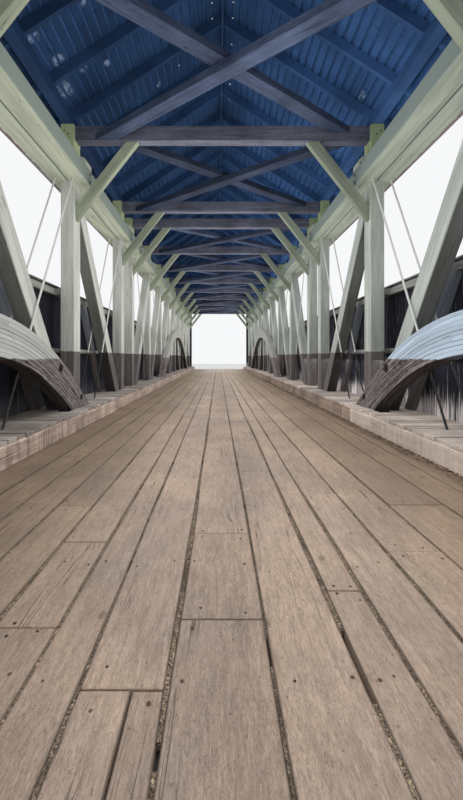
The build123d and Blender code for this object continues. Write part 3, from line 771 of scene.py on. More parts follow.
materials = {
    "deck": wood("deck_wood", (0.352, 0.263, 0.202), (0.612, 0.466, 0.37), 0.08, 0.6,
                 edge_dirt_and_painted_shadow=0.75, edge_reach=0.009, clouds=0.15, contrast=1.05,
                 dust=(0.12, 0.084, 0.062)),
    # Ledges: the right one is drawn paler than the left, a painted light
    "ledge_left": wood("ledge_wood_left", (0.17, 0.148, 0.133), (0.5, 0.44, 0.39), 0.25, 0.9,
                       edge_dirt_and_painted_shadow=0.9),
    "ledge_right": wood("ledge_wood_right_painted_light", (0.33, 0.28, 0.246), (0.67, 0.575, 0.51), 0.22, 0.9,
                        edge_dirt_and_painted_shadow=0.9),
    # Curbs: lit and shaded copies of one wood, painted light and shade: the left paler than the
    # right, the near right length palest
    "curb_left": wood("curb_wood_left", (0.285, 0.215, 0.18), (0.7, 0.545, 0.455), 0.12, 0.9,
                      CURB_STREAK, edge_dirt_and_painted_shadow=0.3, stains=0.42),
    "curb_right": wood("curb_wood_right", (0.2, 0.148, 0.12), (0.47, 0.36, 0.29), 0.12, 0.9,
                       CURB_STREAK, edge_dirt_and_painted_shadow=0.3, clouds=0.35, stains=0.4),
    "curb_near": wood("curb_wood_near_painted_light", (0.46, 0.38, 0.325), (0.74, 0.625, 0.54), 0.08, 0.9,
                      CURB_STREAK, clouds=0.15, stains=0.15),
    "crumb": wood("crumb_wood", (0.05, 0.032, 0.024), (0.4, 0.28, 0.2), 0.95),
    "dark_own": wood("frame_wood_cut", *SHADED),
    "dark_x": wood("frame_wood_across", *SHADED, axis="x"),
    "dark_y": wood("frame_wood_along", *SHADED, axis="y"),
    "tie": wood("tie_wood", *TIE, axis="x"),
    "tie_brace": wood("tie_brace_wood", *TIE_BRACE_SHADE_AND_HAZE),
    "cap": wood("cap_wood", (0.075, 0.077, 0.07), (0.18, 0.18, 0.16)),
    "roof_frame_x": roof_wood("rafter_wood", *RAFTER, "x"),
    "roof_frame_y": roof_wood("ridge_wood", *RAFTER, "y"),
    "roof_lath": roof_wood("lath_wood", *LATH),
    "shingle": shingle_wood(),
    "siding": siding_wood(),
    # The right= colours below are a painted shade on the right truss
    "post": whitewash("post_whitewash", CREAM, axis="z", head_algae_and_painted_reflection=(0.4, 0.47, 0.26),
                      right=(0.76, 0.79, 0.79)),
    "brace": whitewash("brace_whitewash", CREAM, underside_painted_light=0.36, right=(0.78, 0.8, 0.83)),
    "strut": whitewash("strut_whitewash", (0.33, 0.36, 0.4)),
    "rail": whitewash("rail_whitewash", (0.31, 0.315, 0.285), axis="y", wear=0.52),
    "chord": whitewash("chord_whitewash", GREENISH, light=(0.42, 0.33, 0.34), wear=0.36,
                       bare_lip=True, underside_painted_light=1.1, side_painted_shade=(0.245, 0.285, 0.25),
                       right=(0.87, 0.91, 0.96)),
    "knee": whitewash("knee_whitewash", (0.36, 0.4, 0.295), wear=0.34),
    "block": whitewash("block_whitewash", GREENISH, axis="x", wear=0.5),
    "arch_near_left": whitewash("arch_whitewash_left", (0.465, 0.473, 0.45), **ARCH_WOOD),
    # The near right arch is drawn bluish, a painted skylight
    "arch_near_right": whitewash("arch_whitewash_right_painted_skylight", (0.578, 0.69, 0.785), **ARCH_WOOD),
    "arch_far": whitewash("arch_whitewash_far", (0.4, 0.39, 0.36), **ARCH_WOOD),
    "iron": iron("bare_iron"),
    "nail": iron("nail_iron", (0.035, 0.024, 0.02), (0.13, 0.085, 0.06)),
    "plate": iron("plate_iron", (0.008, 0.008, 0.01), (0.03, 0.025, 0.024)),
    "painted_iron": iron("rod_iron", (0.014, 0.014, 0.018), (0.06, 0.052, 0.05),
                         (0.58, 0.59, 0.56)),
    "grit": grit(),
    "stone": stone("sandstone", (0.2, 0.18, 0.15), (0.5, 0.46, 0.38)),
    "stone_plain": stone("sandstone_top", (0.26, 0.24, 0.2), (0.46, 0.42, 0.36)),
    "mortar": mortar(),
}


# Floor of the bridge

PLANK_EDGES = (-1.98, -1.66, -1.40, -1.145, -0.905, -0.665, -0.495, -0.22,
               0.105, 0.385, 0.55, 0.795, 1.08, 1.46, 1.73, 1.98)
PLANK_BUTT = 0.0022
PLANK_DROP = 0.004
SEAM_HALF_GAPS = (0.0045, 0.0095)
SPLIT_HALF_GAP = 0.0035
OUTER_HALF_GAP = 0.001
# Lengths of planks behind the joints near the eye and ahead of them, and the shortest end
PLANKS_BEHIND = (2.6, 4.2)
PLANKS_AHEAD = (3.1, 5.4)
END_PLANK = 0.5
# Joints are added until the outermost ones lie this near to the ends of the deck
LAST_BEHIND = 2.2
LAST_AHEAD = 3.4
# Butt joints near the eye in each strip of planks, as distances ahead of it
PLANK_JOINTS = ((3.51,), (2.36,), (2.86,), (2.32,), (1.28, 1.87), (), (1.04,), (1.32, 1.96),
                (3.01, 5.34), (1.48,), (2.53,), (1.78,), (2.34,), (3.52,), ())
# A plank near the eye that has split along its length, and where
SPLIT_STRIP = 6
SPLIT_EDGE = -0.33
# Seams that are open under the eye, as (seam, distances ahead of the eye)
OPEN_SEAMS = ((8, 1.12, 1.24), (8, 2.28, 2.36), (7, 0.84, 0.9), (9, 1.0, 1.27),
              (6, 1.63, 1.7), (6, 1.92, 1.96), (9, 2.95, 3.0))
# Waves of a seam: lowest and highest rate along it, and size
SEAM_WAVES = (((0.7, 1.1), 0.45), ((2.0, 3.2), 0.3), ((5.0, 8.0), 0.12))
STATION = 0.24
# Nails: pitch of their rows, place from a plank's ends and edges, strays, clear ends,
# share of the rows and of their nails, radii, and height of a head
NAIL_ROWS = 0.61
NAIL_END = 0.045
NAIL_EDGE = 0.06
NAIL_STRAY = 0.03
NAIL_CLEAR = 0.15
NAILED_ROWS = 0.8
NAILS_LEFT = 0.85
NAIL_RADII = (0.005, 0.008)
NAIL_HEAD = 0.0018
# Grit: its bed, its depths below the planks, and the open places far from the eye
GRIT_BED = -0.03
GRIT_DEPTHS = (0.005, 0.009)
FIRST_HOLE = 3.2
HOLE_LENGTHS = (0.04, 0.2)
HOLE_SPACING = (0.9, 3.0)
# Joints of the curbs, and how far each length is sunk behind the line
CURB_LEFT = ((-deck_end, -12.1, -7.2, -2.6, 2.9, 8.4, deck_end),
             (0.0, 0.003, 0.009, 0.004, 0.008, 0.003))
CURB_RIGHT = ((-7.27, -2.2, 3.4, 8.1, 12.6, deck_end), (0.012, 0.007, 0.011, 0.006, 0.01))
CURB_NEAR = ((-deck_end, -12.6, -7.27), (0.003, 0.0))
CURB_BUTT = 0.004
# Crumbs along the right curb, from a distance ahead of the eye and over a run
CRUMBS = 2400
CRUMBS_AHEAD = 1.5
CRUMBS_RUN = 14
CRUMB_SIZES = (0.007, 0.024)
CRUMB_THICKNESS = 0.0016
# Rough boards under the planks and over the ledges: their widths and gaps
SUBFLOOR_WIDTHS = (0.2, 0.29)
LEDGE_WIDTHS = (0.13, 0.21)
LEDGE_GAPS = (0.007, 0.019)
LEDGE_OFFCUT = 0.02
CLEAR = 0.006


class Seam:
    """A wandering gap between two strips of planks."""

    def __init__(self, x, chance, half_gap):
        self.x = x
        self.half_gap = half_gap
        self.waves = [(chance.uniform(*rates), chance.uniform(0, 6.3), size)
                      for rates, size in SEAM_WAVES]

    def side(self, y, way):
        """Edge of the planks on one side of the gap."""
        wander = sum(size * math.sin(rate * y + phase) for rate, phase, size in self.waves)
        gap = self.half_gap * (1 + 0.35 * math.sin(2.3 * y + self.waves[0][1]))
        return self.x + self.half_gap * wander + way * gap


def tube(rings):
    """Faces of a bar between its first and last ring of four corners."""
    faces = [[0, 1, 2, 3], [4 * rings - i for i in (1, 2, 3, 4)]]
    for i in range(rings - 1):
        for j in range(4):
            k = (j + 1) % 4
            faces.append([4 * i + j, 4 * i + 4 + j, 4 * i + 4 + k, 4 * i + k])
    return faces


def seam_strip(piece, left, right, y_range, z_range, inner_ways=(1, -1)):
    """A board whose two long edges follow two seams."""
    (y0, y1), (z0, z1) = y_range, z_range
    count = max(1, round((y1 - y0) / STATION))
    verts = []
    for i in range(count + 1):
        y = y0 + (y1 - y0) * i / count
        x0, x1 = left.side(y, inner_ways[0]), right.side(y, inner_ways[1])
        verts += [Vector((x, y, level(z))) for x, z in ((x0, z0), (x1, z0), (x1, z1), (x0, z1))]
    start = len(piece.span)
    piece.solid(verts, tube(count + 1), ALONG)
    reach = piece.half[-1][0]
    for i in range(len(verts)):
        piece.span[start + i][0] = reach if i % 4 in (0, 3) else -reach


def plank_ends(chance, near_joints):
    """Joints along one strip of planks, from end to end of the deck."""
    ends = sorted(EYE[1] + ahead for ahead in near_joints) or [EYE[1] - chance.uniform(0.4, 1.8)]
    while ends[0] > -deck_end + LAST_BEHIND:
        ends.insert(0, ends[0] - chance.uniform(*PLANKS_BEHIND))
    while ends[-1] < deck_end - LAST_AHEAD:
        ends.append(ends[-1] + chance.uniform(*PLANKS_AHEAD))
    return [-deck_end] + [y for y in ends if abs(y) < deck_end - END_PLANK] + [deck_end]


def deck_planks():
    """Long planks with wandering seams, each at its own height."""
    deck = Piece("deck_planks", 11)
    nails = Piece("deck_nails", 12)
    seams = [Seam(x, deck.random, deck.random.uniform(*SEAM_HALF_GAPS)) for x in PLANK_EDGES]
    for seam in (seams[0], seams[-1]):
        seam.half_gap = OUTER_HALF_GAP
    split = Seam(SPLIT_EDGE, deck.random, SPLIT_HALF_GAP)
    for i, joints in enumerate(PLANK_JOINTS):
        ends = plank_ends(deck.random, joints)
        for start, stop in pairwise(ends):
            drop = deck.random.uniform(0, PLANK_DROP)
            y_range = (start + PLANK_BUTT, stop - PLANK_BUTT)
            z_range = (-PLANK, -drop)
            if i == SPLIT_STRIP and start < EYE[1] < stop:
                seam_strip(deck, seams[i], split, y_range, z_range)
                seam_strip(deck, split, seams[i + 1], y_range, (-PLANK, -drop - 0.002))
            else:
                seam_strip(deck, seams[i], seams[i + 1], y_range, z_range)
            plank_nails(nails, PLANK_EDGES[i], PLANK_EDGES[i + 1], start, stop, -drop)
    deck.finish("deck", "deck_planks", ["deck"], bevel=0.0025)
    nails.finish("nail", "painted_iron")
    seam_dirt(seams)


def plank_nails(nails, low, high, start, stop, top):
    """Nails in uneven pairs along every plank, and two at each end."""
    rows = [start + NAIL_END, stop - NAIL_END]
    row = math.ceil(start / NAIL_ROWS) * NAIL_ROWS
    while row < stop - NAIL_CLEAR:
        if row > start + NAIL_CLEAR and nails.random.random() < NAILED_ROWS:
            rows.append(row)
        row += NAIL_ROWS
    for y in rows:
        for x in (low + NAIL_EDGE, high - NAIL_EDGE):
            if nails.random.random() < NAILS_LEFT:
                place = (x + nails.random.uniform(-NAIL_STRAY, NAIL_STRAY),
                         y + nails.random.uniform(-NAIL_STRAY, NAIL_STRAY), level(top) - 0.0012)
                nails.disc(place, UP, nails.random.uniform(*NAIL_RADII), NAIL_HEAD, sides=7)


def seam_dirt(seams):
    """Grit trodden into the seams, with open places where it has fallen through."""
    grit = Piece("seam_grit", 14)
    for i, seam in enumerate(seams[1:-1], 1):
        places = [-deck_end]
        for j, low, high in OPEN_SEAMS:
            if j == i:
                places += [EYE[1] + low, EYE[1] + high]
        y = EYE[1] + FIRST_HOLE
        while y < deck_end - END_PLANK:
            places += [y, y + grit.random.uniform(*HOLE_LENGTHS)]
            y += grit.random.uniform(*HOLE_SPACING)
        places.append(deck_end)
        for start, stop in zip(places[::2], places[1::2]):
            depth = grit.random.uniform(*GRIT_DEPTHS)
            seam_strip(grit, seam, seam, (start, stop), (GRIT_BED, -depth), (-1, 1))
    grit.finish("grit", "deck_planks")


def curb(name, side, layout, material, nodes=()):
    """Lengths of one curb timber under the ledge boards."""
    timbers = Piece(name, 16 + side)
    ends, sunk = layout
    top = CURB_HEIGHT - LEDGE
    back = LEDGE_INNER + LEDGE
    for start, stop, drop in zip(ends, ends[1:], sunk):
        face = DECK_HALF_WIDTH + drop
        outline = [(face, -PLANK), (back, -PLANK), (back, top), (face + CURB_CHAMFER, top),
                   (face, top - CURB_CHAMFER)]
        y_range = (start + CURB_BUTT, stop - CURB_BUTT)
        timbers.along([(side * x, z) for x, z in outline], y_range, ALONG)
    timbers.finish(material, "ledge_boards", nodes, bevel=0.007)


def curbs():
    """Both curbs; the near length on the right is drawn paler than the rest, a painted light."""
    curb("curb_lengths_left", -1, CURB_LEFT, "curb_left", ["curb_left"])
    curb("curb_lengths_right", 1, CURB_RIGHT, "curb_right")
    curb("curb_near_right", 1, CURB_NEAR, "curb_near", ["curb_right"])


def crumbs():
    """Flakes of bark and wood that have drifted against the right curb."""
    flakes = Piece("curb_crumbs", 18)
    chance = flakes.random
    for _ in range(CRUMBS):
        y = EYE[1] + CRUMBS_AHEAD + chance.random() ** 1.5 * CRUMBS_RUN
        drift = 0.12 + 0.06 * math.sin(2.1 * y) + 0.04 * math.sin(5.3 * y)
        x = DECK_HALF_WIDTH - 0.012 - chance.random() ** 1.7 * drift
        size = chance.uniform(*CRUMB_SIZES)
        turn = chance.uniform(0, math.pi)
        along = Vector((math.cos(turn), math.sin(turn), chance.uniform(-0.15, 0.15))) * size
        aside = Vector((-math.sin(turn), math.cos(turn), 0)) * size * chance.uniform(0.3, 0.6)
        middle = Vector((x, y, level(chance.uniform(0.0, 0.007))))
        ring = [middle - along, middle + aside, middle + along, middle - aside * 0.7]
        flakes.prism(ring, [p + Vector((0, 0, CRUMB_THICKNESS)) for p in ring], along)
    flakes.finish("crumb", "deck_planks")


def subfloor_boards():
    """Rough boards laid across the stringers."""
    floor = Piece("subfloor_boards", 13)
    for start, stop in lengths(floor.random, -deck_end, deck_end, SUBFLOOR_WIDTHS):
        half = SUBFLOOR_HALF_WIDTH - floor.random.uniform(0, 0.02)
        floor.box((-half, half), (start + 0.003, stop - 0.003), (-PLANK - SUBFLOOR, -PLANK - 0.001),
                  ACROSS)
    floor.finish("dark_own", "bare_timber", ["subfloor"])


def brace_span(inner, outer):
    """Post faces that a brace bears on, with its slope and its upright thickness."""
    toward = math.copysign(1, outer - inner)
    inner_face = inner + toward * POST_DEPTH / 2
    outer_face = outer - toward * POST_DEPTH / 2
    slope = CHORD_LOW / abs(outer_face - inner_face)
    return inner_face, outer_face, slope, BRACE_DEPTH * math.hypot(1, slope)


def ledge_obstacles():
    """Stretches, along and across the bridge, where posts, braces and arches come through."""
    low = CURB_HEIGHT - LEDGE
    post_line = (POST_INNER - CLEAR, POST_OUTER + CLEAR)
    half = POST_DEPTH / 2 + CLEAR
    spots = [(y - half, y + half, *post_line) for y in all_posts]
    for inner, outer in bays():
        toward = math.copysign(1, outer - inner)
        _, outer_face, slope, thickness = brace_span(inner, outer)
        near_cut = outer_face - toward * (low / slope - CLEAR)
        far_cut = outer_face - toward * ((CURB_HEIGHT + thickness) / slope + CLEAR)
        spots.append((*sorted((near_cut, far_cut)), *post_line))
    for arch in ARCHES.values():
        outer_run = math.sqrt(2 * arch.radius * (arch.crown - low))
        thickness = PLIES * PLY * math.hypot(1, outer_run / arch.radius)
        inner_run = math.sqrt(2 * arch.radius * (arch.crown - CURB_HEIGHT - thickness))
        runs = (inner_run - CLEAR, outer_run + CLEAR)
        for side in (1, -1):
            ends = sorted(arch.middle + side * run for run in runs)
            spots.append((*ends, POST_INNER - ARCH_WIDTH - CLEAR, POST_INNER + CLEAR))
    return spots


def ledge_boards(side):
    """Short boards across each ledge and its curb, fitted round the trusses."""
    hand = HANDS[side]
    boards = Piece("ledge_boards_" + hand, 20 + side)
    nails = Piece(f"ledge_boards_{hand}_nails", 24 + side)
    spots = ledge_obstacles()
    for start, stop in lengths(boards.random, -portal_face, portal_face, LEDGE_WIDTHS):
        gap = boards.random.uniform(*LEDGE_GAPS)
        low, high = start + gap / 2, stop - gap / 2
        strips = [(DECK_HALF_WIDTH + boards.random.uniform(0.001, 0.022), SIDING_INNER)]
        for y0, y1, x0, x1 in spots:
            if high > y0 and low < y1:
                strips = [part for a, b in strips for part in ((a, min(b, x0)), (max(a, x1), b))
                          if part[1] - part[0] > LEDGE_OFFCUT]
        drop = boards.random.uniform(0, 0.007)
        turn = boards.random.uniform(-0.004, 0.004)
        for a, b in strips:
            boards.box(sided(side, a, b), (low, high), (CURB_HEIGHT - LEDGE, CURB_HEIGHT - drop),
                       ACROSS, turn)
        for x in (DECK_HALF_WIDTH + 0.08, SIDING_INNER - 0.05):
            place = (side * x, (low + high) / 2, level(CURB_HEIGHT - drop) - 0.001)
            nails.disc(place, UP, 0.005, 0.002, sides=6)
    boards.finish("ledge_" + hand, "ledge_boards", ["ledge_" + hand], bevel=0.003)
    nails.finish("iron", "painted_iron")


# Trusses

# Half of the gap where two timbers meet end to end
BUTT = 0.002


def braces(side):
    """One brace in each bay, squared against the posts."""
    piece = Piece("braces_cut_" + HANDS[side], 30 + side)
    for inner, outer in bays():
        inner_face, outer_face, _, thickness = brace_span(inner, outer)
        outline = [(outer_face, 0.0), (inner_face, CHORD_LOW), (inner_face, CHORD_LOW - thickness),
                   (outer_face, -thickness)]
        piece.across(outline, sided(side, POST_INNER, POST_OUTER),
                     (0, inner_face - outer_face, CHORD_LOW))
    piece.finish("brace", "whitewashed_timber", ["braces_" + HANDS[side]], bevel=0.008)


def siding_struts(side):
    """Slanting struts of the siding, cut between its rails."""
    piece = Piece("siding_struts_cut_" + HANDS[side], 34 + side)
    (_, _), (middle_low, middle_high), (top, _) = RAIL_LEVELS
    rise = top - CURB_HEIGHT
    for inner, outer in bays():
        foot = inner + STRUT_FOOT_SHARE * (outer - inner)
        run = (STRUT_FOOT_SHARE - STRUT_HEAD_SHARE) * (outer - inner)
        half = STRUT_DEPTH / 2 * math.hypot(run, rise) / rise
        for low, high in ((CURB_HEIGHT, middle_low), (middle_high, top)):
            y_low, y_high = [foot - run * (z - CURB_HEIGHT) / rise for z in (low, high)]
            outline = [(y_low - half, low), (y_low + half, low), (y_high + half, high),
                       (y_high - half, high)]
            piece.across(outline, sided(side, SIDING_INNER - RAIL_THICKNESS, SIDING_INNER),
                         (0, -run, rise))
    piece.finish("strut", "whitewashed_timber", ["siding_struts_" + HANDS[side]], bevel=0.005)


def top_chords(side):
    """Two sticks side by side in long lengths, scarfed where they meet."""
    piece = Piece("top_chord_sticks_" + HANDS[side], 38 + side)
    for (x0, x1), joints in zip(CHORD_STICKS, CHORD_JOINTS):
        ends = [-portal_face, *joints, portal_face]
        for start, stop in pairwise(ends):
            first = start + SCARF if start > -portal_face else start
            last = stop + SCARF if stop < portal_face else stop
            outline = [(start + BUTT, CHORD_LOW), (stop - BUTT, CHORD_LOW),
                       (last - BUTT, CHORD_HIGH), (first + BUTT, CHORD_HIGH)]
            piece.across(outline, sided(side, x0, x1), ALONG)
    piece.finish("chord", "whitewashed_timber", ["top_chord_" + HANDS[side]], bevel=0.008)


def knee_braces(side):
    """Short struts from each post to its tie beam."""
    piece = Piece("knee_braces_cut_" + HANDS[side], 42 + side)
    outline = [(side * POST_INNER, KNEE_FOOT[0]), (side * POST_INNER, KNEE_FOOT[1]),
               (side * KNEE_HEAD[1], TIE_LOW), (side * KNEE_HEAD[0], TIE_LOW)]
    grain = (side * (KNEE_HEAD[0] - POST_INNER), 0, TIE_LOW - KNEE_FOOT[0])
    for y in all_posts:
        piece.along(outline, (y - KNEE_WIDTH / 2, y + KNEE_WIDTH / 2), grain)
    piece.finish("knee", "whitewashed_timber", ["knee_braces_" + HANDS[side]], bevel=0.006)


def crossed_bracing(name, node, seed, gap, width, layers, reach, material):
    """Crossed diagonals in every bay, one of each pair above the other."""
    piece = Piece(name, seed)
    for pair in bays():
        low, high = min(pair) + gap, max(pair) - gap
        half = width / 2 * math.hypot(1, 2 * reach / (high - low))
        for side, (bottom, top) in zip((1, -1), layers):
            start, stop = -side * reach, side * reach
            ring = [(start - half, low), (start + half, low), (stop + half, high),
                    (stop - half, high)]
            piece.prism([(x, y, level(bottom)) for x, y in ring],
                        [(x, y, level(top)) for x, y in ring], (stop - start, high - low, 0))
    piece.finish(material, "bare_timber", [node], bevel=0.006)


def bracing():
    """Bracing between the ties, and between the bottom chords."""
    crossed_bracing("tie_bracing", "upper_bracing", 50, TIE_WIDTH / 2, UPPER_BRACE_WIDTH,
                    ((POST_TOP - UPPER_BRACE_DEPTH, POST_TOP),
                     (TIE_LOW, TIE_LOW + UPPER_BRACE_DEPTH)),
                    UPPER_BRACE_REACH, "tie_brace")
    crossed_bracing("chord_bracing", "lower_bracing", 51, 0.0, LOWER_BRACE_WIDTH,
                    ((BOTTOM_CHORD_LOW, BOTTOM_CHORD_LOW + LOWER_BRACE_DEPTH),
                     (BOTTOM_CHORD_HIGH - LOWER_BRACE_DEPTH, BOTTOM_CHORD_HIGH)),
                    POST_INNER - LOWER_BRACE_WIDTH, "dark_own")


# Laminated arches

# Gaps that the plies have opened as they dried
PLY_SHRINKAGE = (0.0003, 0.0003, 0.0008, 0.003)
ARCH_STEP = 0.045
# Plates on each half of an arch, as run from the middle, depth below the back and radius
ARCH_PLATES = {"near": ((1.755, 0.1, 0.074), (2.45, 0.09, 0.055)),
               "far": ((0.9, 0.12, 0.02), (2.3, 0.3, 0.02), (3.6, 0.12, 0.03),
                       (4.7, 0.3, 0.02), (5.6, 0.12, 0.03))}


def arch_arcs(radius, reach):
    """Arcs, each tangent to the one before, through points of a parabola."""
    stations = [share * reach for share in ARC_SHARES]
    arcs = []
    angle = 0
    for start, end in pairwise(stations):
        drop = (end * end - start * start) / (2 * radius)
        next_angle = 2 * math.atan2(drop, end - start) - angle
        curve = (end - start) / (math.sin(next_angle) - math.sin(angle))
        arcs.append((start - curve * math.sin(angle),
                     start * start / (2 * radius) + curve * math.cos(angle), curve,
                     angle, next_angle))
        angle = next_angle
    return arcs


def arch_stations(arcs):
    """Turns along the arch from foot to foot, each with the arc that it belongs to."""
    half = [(0.0, arcs[0])]
    for arc in arcs:
        first, last = arc[3:]
        count = max(2, round((last - first) / ARCH_STEP))
        half += [(first + (last - first) * (i + 1) / count, arc) for i in range(count)]
    return [(-turn, arc, -1) for turn, arc in half[:0:-1]] + [(turn, arc, 1) for turn, arc in half]


def arch_point(station, middle, crown, depth):
    """Place along the bridge and height of the arch line at a depth below its back."""
    turn, (run, drop, curve, _, _), side = station
    y = middle + side * run + (curve - depth) * math.sin(turn)
    return y, crown - drop + (curve - depth) * math.cos(turn)


def ply_board(piece, stations, middle, crown, depths, x_range):
    """One board of a ply, bent along part of the arch."""
    x0, x1 = x_range
    half = [(x1 - x0) / 2, (depths[1] - depths[0]) / 2, 0.0]
    verts, spans = [], []
    length = 0.0
    previous = None
    for station in stations:
        back, belly = [arch_point(station, middle, crown, depth) for depth in depths]
        if previous:
            length += math.dist(back, previous)
        previous = back
        for x, (y, z), side in ((x0, back, 1), (x1, back, 1), (x1, belly, -1), (x0, belly, -1)):
            verts.append(Vector((x, y, level(z))))
            spans.append([x - (x0 + x1) / 2, side * half[1], length])
    half[2] = length / 2
    piece.add(verts, tube(len(stations)), [[a, b, c - half[2]] for a, b, c in spans], half)


def arch_plies(span, side):
    """A rib of bent planks with staggered butt joints, each a little back from its face."""
    arch = ARCHES[span]
    piece = Piece(f"arch_plies_{span}_{HANDS[side]}", arch.seed + side)
    stations = arch_stations(arch_arcs(arch.radius, arch.reach))
    for i in range(PLIES):
        depths = (i * PLY + piece.random.choice(PLY_SHRINKAGE), (i + 1) * PLY - 0.0003)
        shift = piece.random.uniform(0.1, 0.4) + 0.3
        joints = [round(len(stations) * (j + shift) / arch.boards) for j in range(arch.boards - 1)]
        cuts = [0, *joints, len(stations) - 1]
        for a, b in pairwise(cuts):
            face = POST_INNER - ARCH_WIDTH + piece.random.uniform(0.0, 0.006)
            ply_board(piece, stations[a:b + 1], arch.middle, arch.crown, depths,
                      sided(side, face, POST_INNER))
    coat = "arch_near_" + HANDS[side] if span == "near" else "arch_far"
    piece.finish(coat, "whitewashed_timber", [f"arch_{span}_{HANDS[side]}"], bevel=0.0015)


def arch_bolts():
    """Plates and bolts that tie the plies together on the roadway side."""
    bolts = Piece("arch_bolts", 70)
    for span, arch in ARCHES.items():
        for run, depth, plate in ARCH_PLATES[span]:
            slope = run / arch.radius
            secant = math.hypot(1, slope)
            z = arch.crown - run * run / (2 * arch.radius) - depth / secant
            for end in (1, -1):
                y = arch.middle + end * (run - depth * slope / secant)
                for side in (1, -1):
                    place = (side * (POST_INNER - ARCH_WIDTH + 0.006), y, level(z))
                    bolts.disc(place, (-side, 0, 0), plate, 0.008, sides=4)
                    bolts.disc(place, (-side, 0, 0), plate * 0.45, 0.02, sides=6)
    bolts.finish("plate", "painted_iron")


# Irons

# Pegs in the end faces of each post, and bolts through the chord beside it
PEG_PLACES = ((2.45, 4.54), (2.51, 4.59), (2.43, -0.72))
BOLT_LEVELS = (3.85, 3.97)
# Radius and height of pegs, bolts and nuts, and how far the nuts stand along their rods
PEG = (0.013, 0.008)
BOLT = (0.016, 0.012)
NUT = (0.026, 0.022)
NUT_STANDOFF = 0.036


def rod_nuts():
    """Nuts on the threaded ends of the counter rods."""
    nuts = Piece("rod_nuts", 72)
    for inner, outer in bays():
        toward = math.copysign(1, outer - inner)
        head = Vector((0, outer - toward * ROD_HEAD_OFFSET, level(CHORD_HIGH + HEAD_BLOCK_DEPTH)))
        foot = Vector((0, inner + toward * ROD_FOOT_OFFSET, level(BOTTOM_CHORD_LOW - ANCHOR_DEPTH)))
        line = (head - foot).normalized()
        for side in (1, -1):
            for x in (INNER_ROD_X, OUTER_ROD_X):
                for end, way in ((head, line), (foot, -line)):
                    place = Vector((side * x, end.y, end.z)) + way * NUT_STANDOFF
                    nuts.disc(place, way, *NUT, sides=6)
    nuts.finish("painted_iron", "painted_iron", bevel=0.002)


def frame_pegs():
    """Oak pegs through the joints of posts and ties, and bolts through the chords."""
    pegs = Piece("frame_pegs", 74)
    for y in all_posts:
        for side in (1, -1):
            for way in (1, -1):
                face = y + way * (POST_DEPTH / 2 - 0.004)
                for x, z in PEG_PLACES:
                    pegs.disc((side * x, face, level(z)), (0, way, 0), *PEG)
            for z in BOLT_LEVELS:
                place = (side * (CHORD_INNER + 0.002), y + 0.03, level(z))
                pegs.disc(place, (-side, 0, 0), *BOLT, sides=6)
    pegs.finish("iron", "painted_iron")


# Siding and portals

SIDING_WIDTHS = (0.19, 0.3)
SIDING_GAPS = (0.002, 0.006)
CAP_JOINTS = (-11.3, -6.6, -2.1, 2.4, 7.2, 11.4)
# Boards of a portal: width of the one beside the opening, and boards over half the opening
PORTAL_SIDE_BOARD = 0.29
PORTAL_BOARDS = 9
PORTAL_GAPS = (0.002, 0.005)


def siding_boards(side):
    """Upright boards with narrow gaps between them."""
    boards = Piece("siding_boards_" + HANDS[side], 80 + side)
    for start, stop in lengths(boards.random, -portal_face, portal_face, SIDING_WIDTHS):
        gap = boards.random.uniform(*SIDING_GAPS)
        inner = SIDING_INNER + boards.random.uniform(0, 0.003)
        low = SIDING_LOW + boards.random.uniform(0, 0.04)
        boards.box(sided(side, inner, SIDING_INNER + SIDING_BOARD),
                   (start + gap / 2, stop - gap / 2), (low, SIDING_TOP), UP)
    boards.finish("siding", "weathered_boards", ["siding_" + HANDS[side]])


def siding_cap(side):
    """Lengths of a cap board on top of the siding."""
    cap = Piece("siding_cap_" + HANDS[side], 84 + side)
    x_range = sided(side, SIDING_INNER - CAP_INNER_LIP, SIDING_INNER + SIDING_BOARD + CAP_OUTER_LIP)
    ends = [-portal_face, *CAP_JOINTS, portal_face]
    for start, stop in pairwise(ends):
        cap.box(x_range, (start + BUTT, stop - BUTT), (SIDING_TOP, SIDING_TOP + CAP), ALONG)
    cap.finish("cap", "weathered_boards", bevel=0.004)


def portal(side):
    """Upright boards of an end wall, cut to the roof and round the roadway."""
    boards = Piece("portal_boards_" + ENDS[side], 90 + side)
    half = SIDING_INNER + SIDING_BOARD
    opening = PORTAL_HALF_OPENING
    edges = [-half, -opening - PORTAL_SIDE_BOARD]
    edges += [opening * i / PORTAL_BOARDS for i in range(-PORTAL_BOARDS, PORTAL_BOARDS + 1)]
    edges += [opening + PORTAL_SIDE_BOARD, half]
    for a, b in pairwise(edges):
        gap = boards.random.uniform(*PORTAL_GAPS)
        low, high = a + gap / 2, b - gap / 2
        bottom = BOTTOM_CHORD_HIGH
        if abs(a + b) / 2 <= opening:
            bottom = TIE_LOW - boards.random.uniform(-0.006, 0.0)
        outline = [(low, bottom), (high, bottom), (high, roof_underside - abs(high) * ROOF_SLOPE),
                   (low, roof_underside - abs(low) * ROOF_SLOPE)]
        inner = portal_face + boards.random.uniform(0, 0.003)
        boards.along(outline, sided(side, inner, portal_face + SIDING_BOARD), UP)
    boards.finish("siding", "weathered_boards", ["portal_" + ENDS[side]])


# Roof

# Laths: pitch, gaps, place of the topmost gap, least lath at the eaves, shrinkage at the
# upper edge, thickness and lengths
LATH_PITCH = 0.14
LATH_GAP = 0.04
FIRST_GAP = 0.19
LAST_LATH = 0.02
LATH_SHRINKAGE = 0.002
LATH_THICKNESS = 0.022
LATH_LENGTHS = (3.2, 4.8)
# Shingles: widths, the length that is seen and the whole, the least part of one that is
# left beside an open place or an end, and the gaps on both sides
SHINGLE_WIDTHS = (0.09, 0.19)
SHINGLE_EXPOSURE = 0.14
SHINGLE_LENGTH = 0.3
SHINGLE_SLIVER = 0.01
SHINGLE_GAP = (0.001, 0.002)
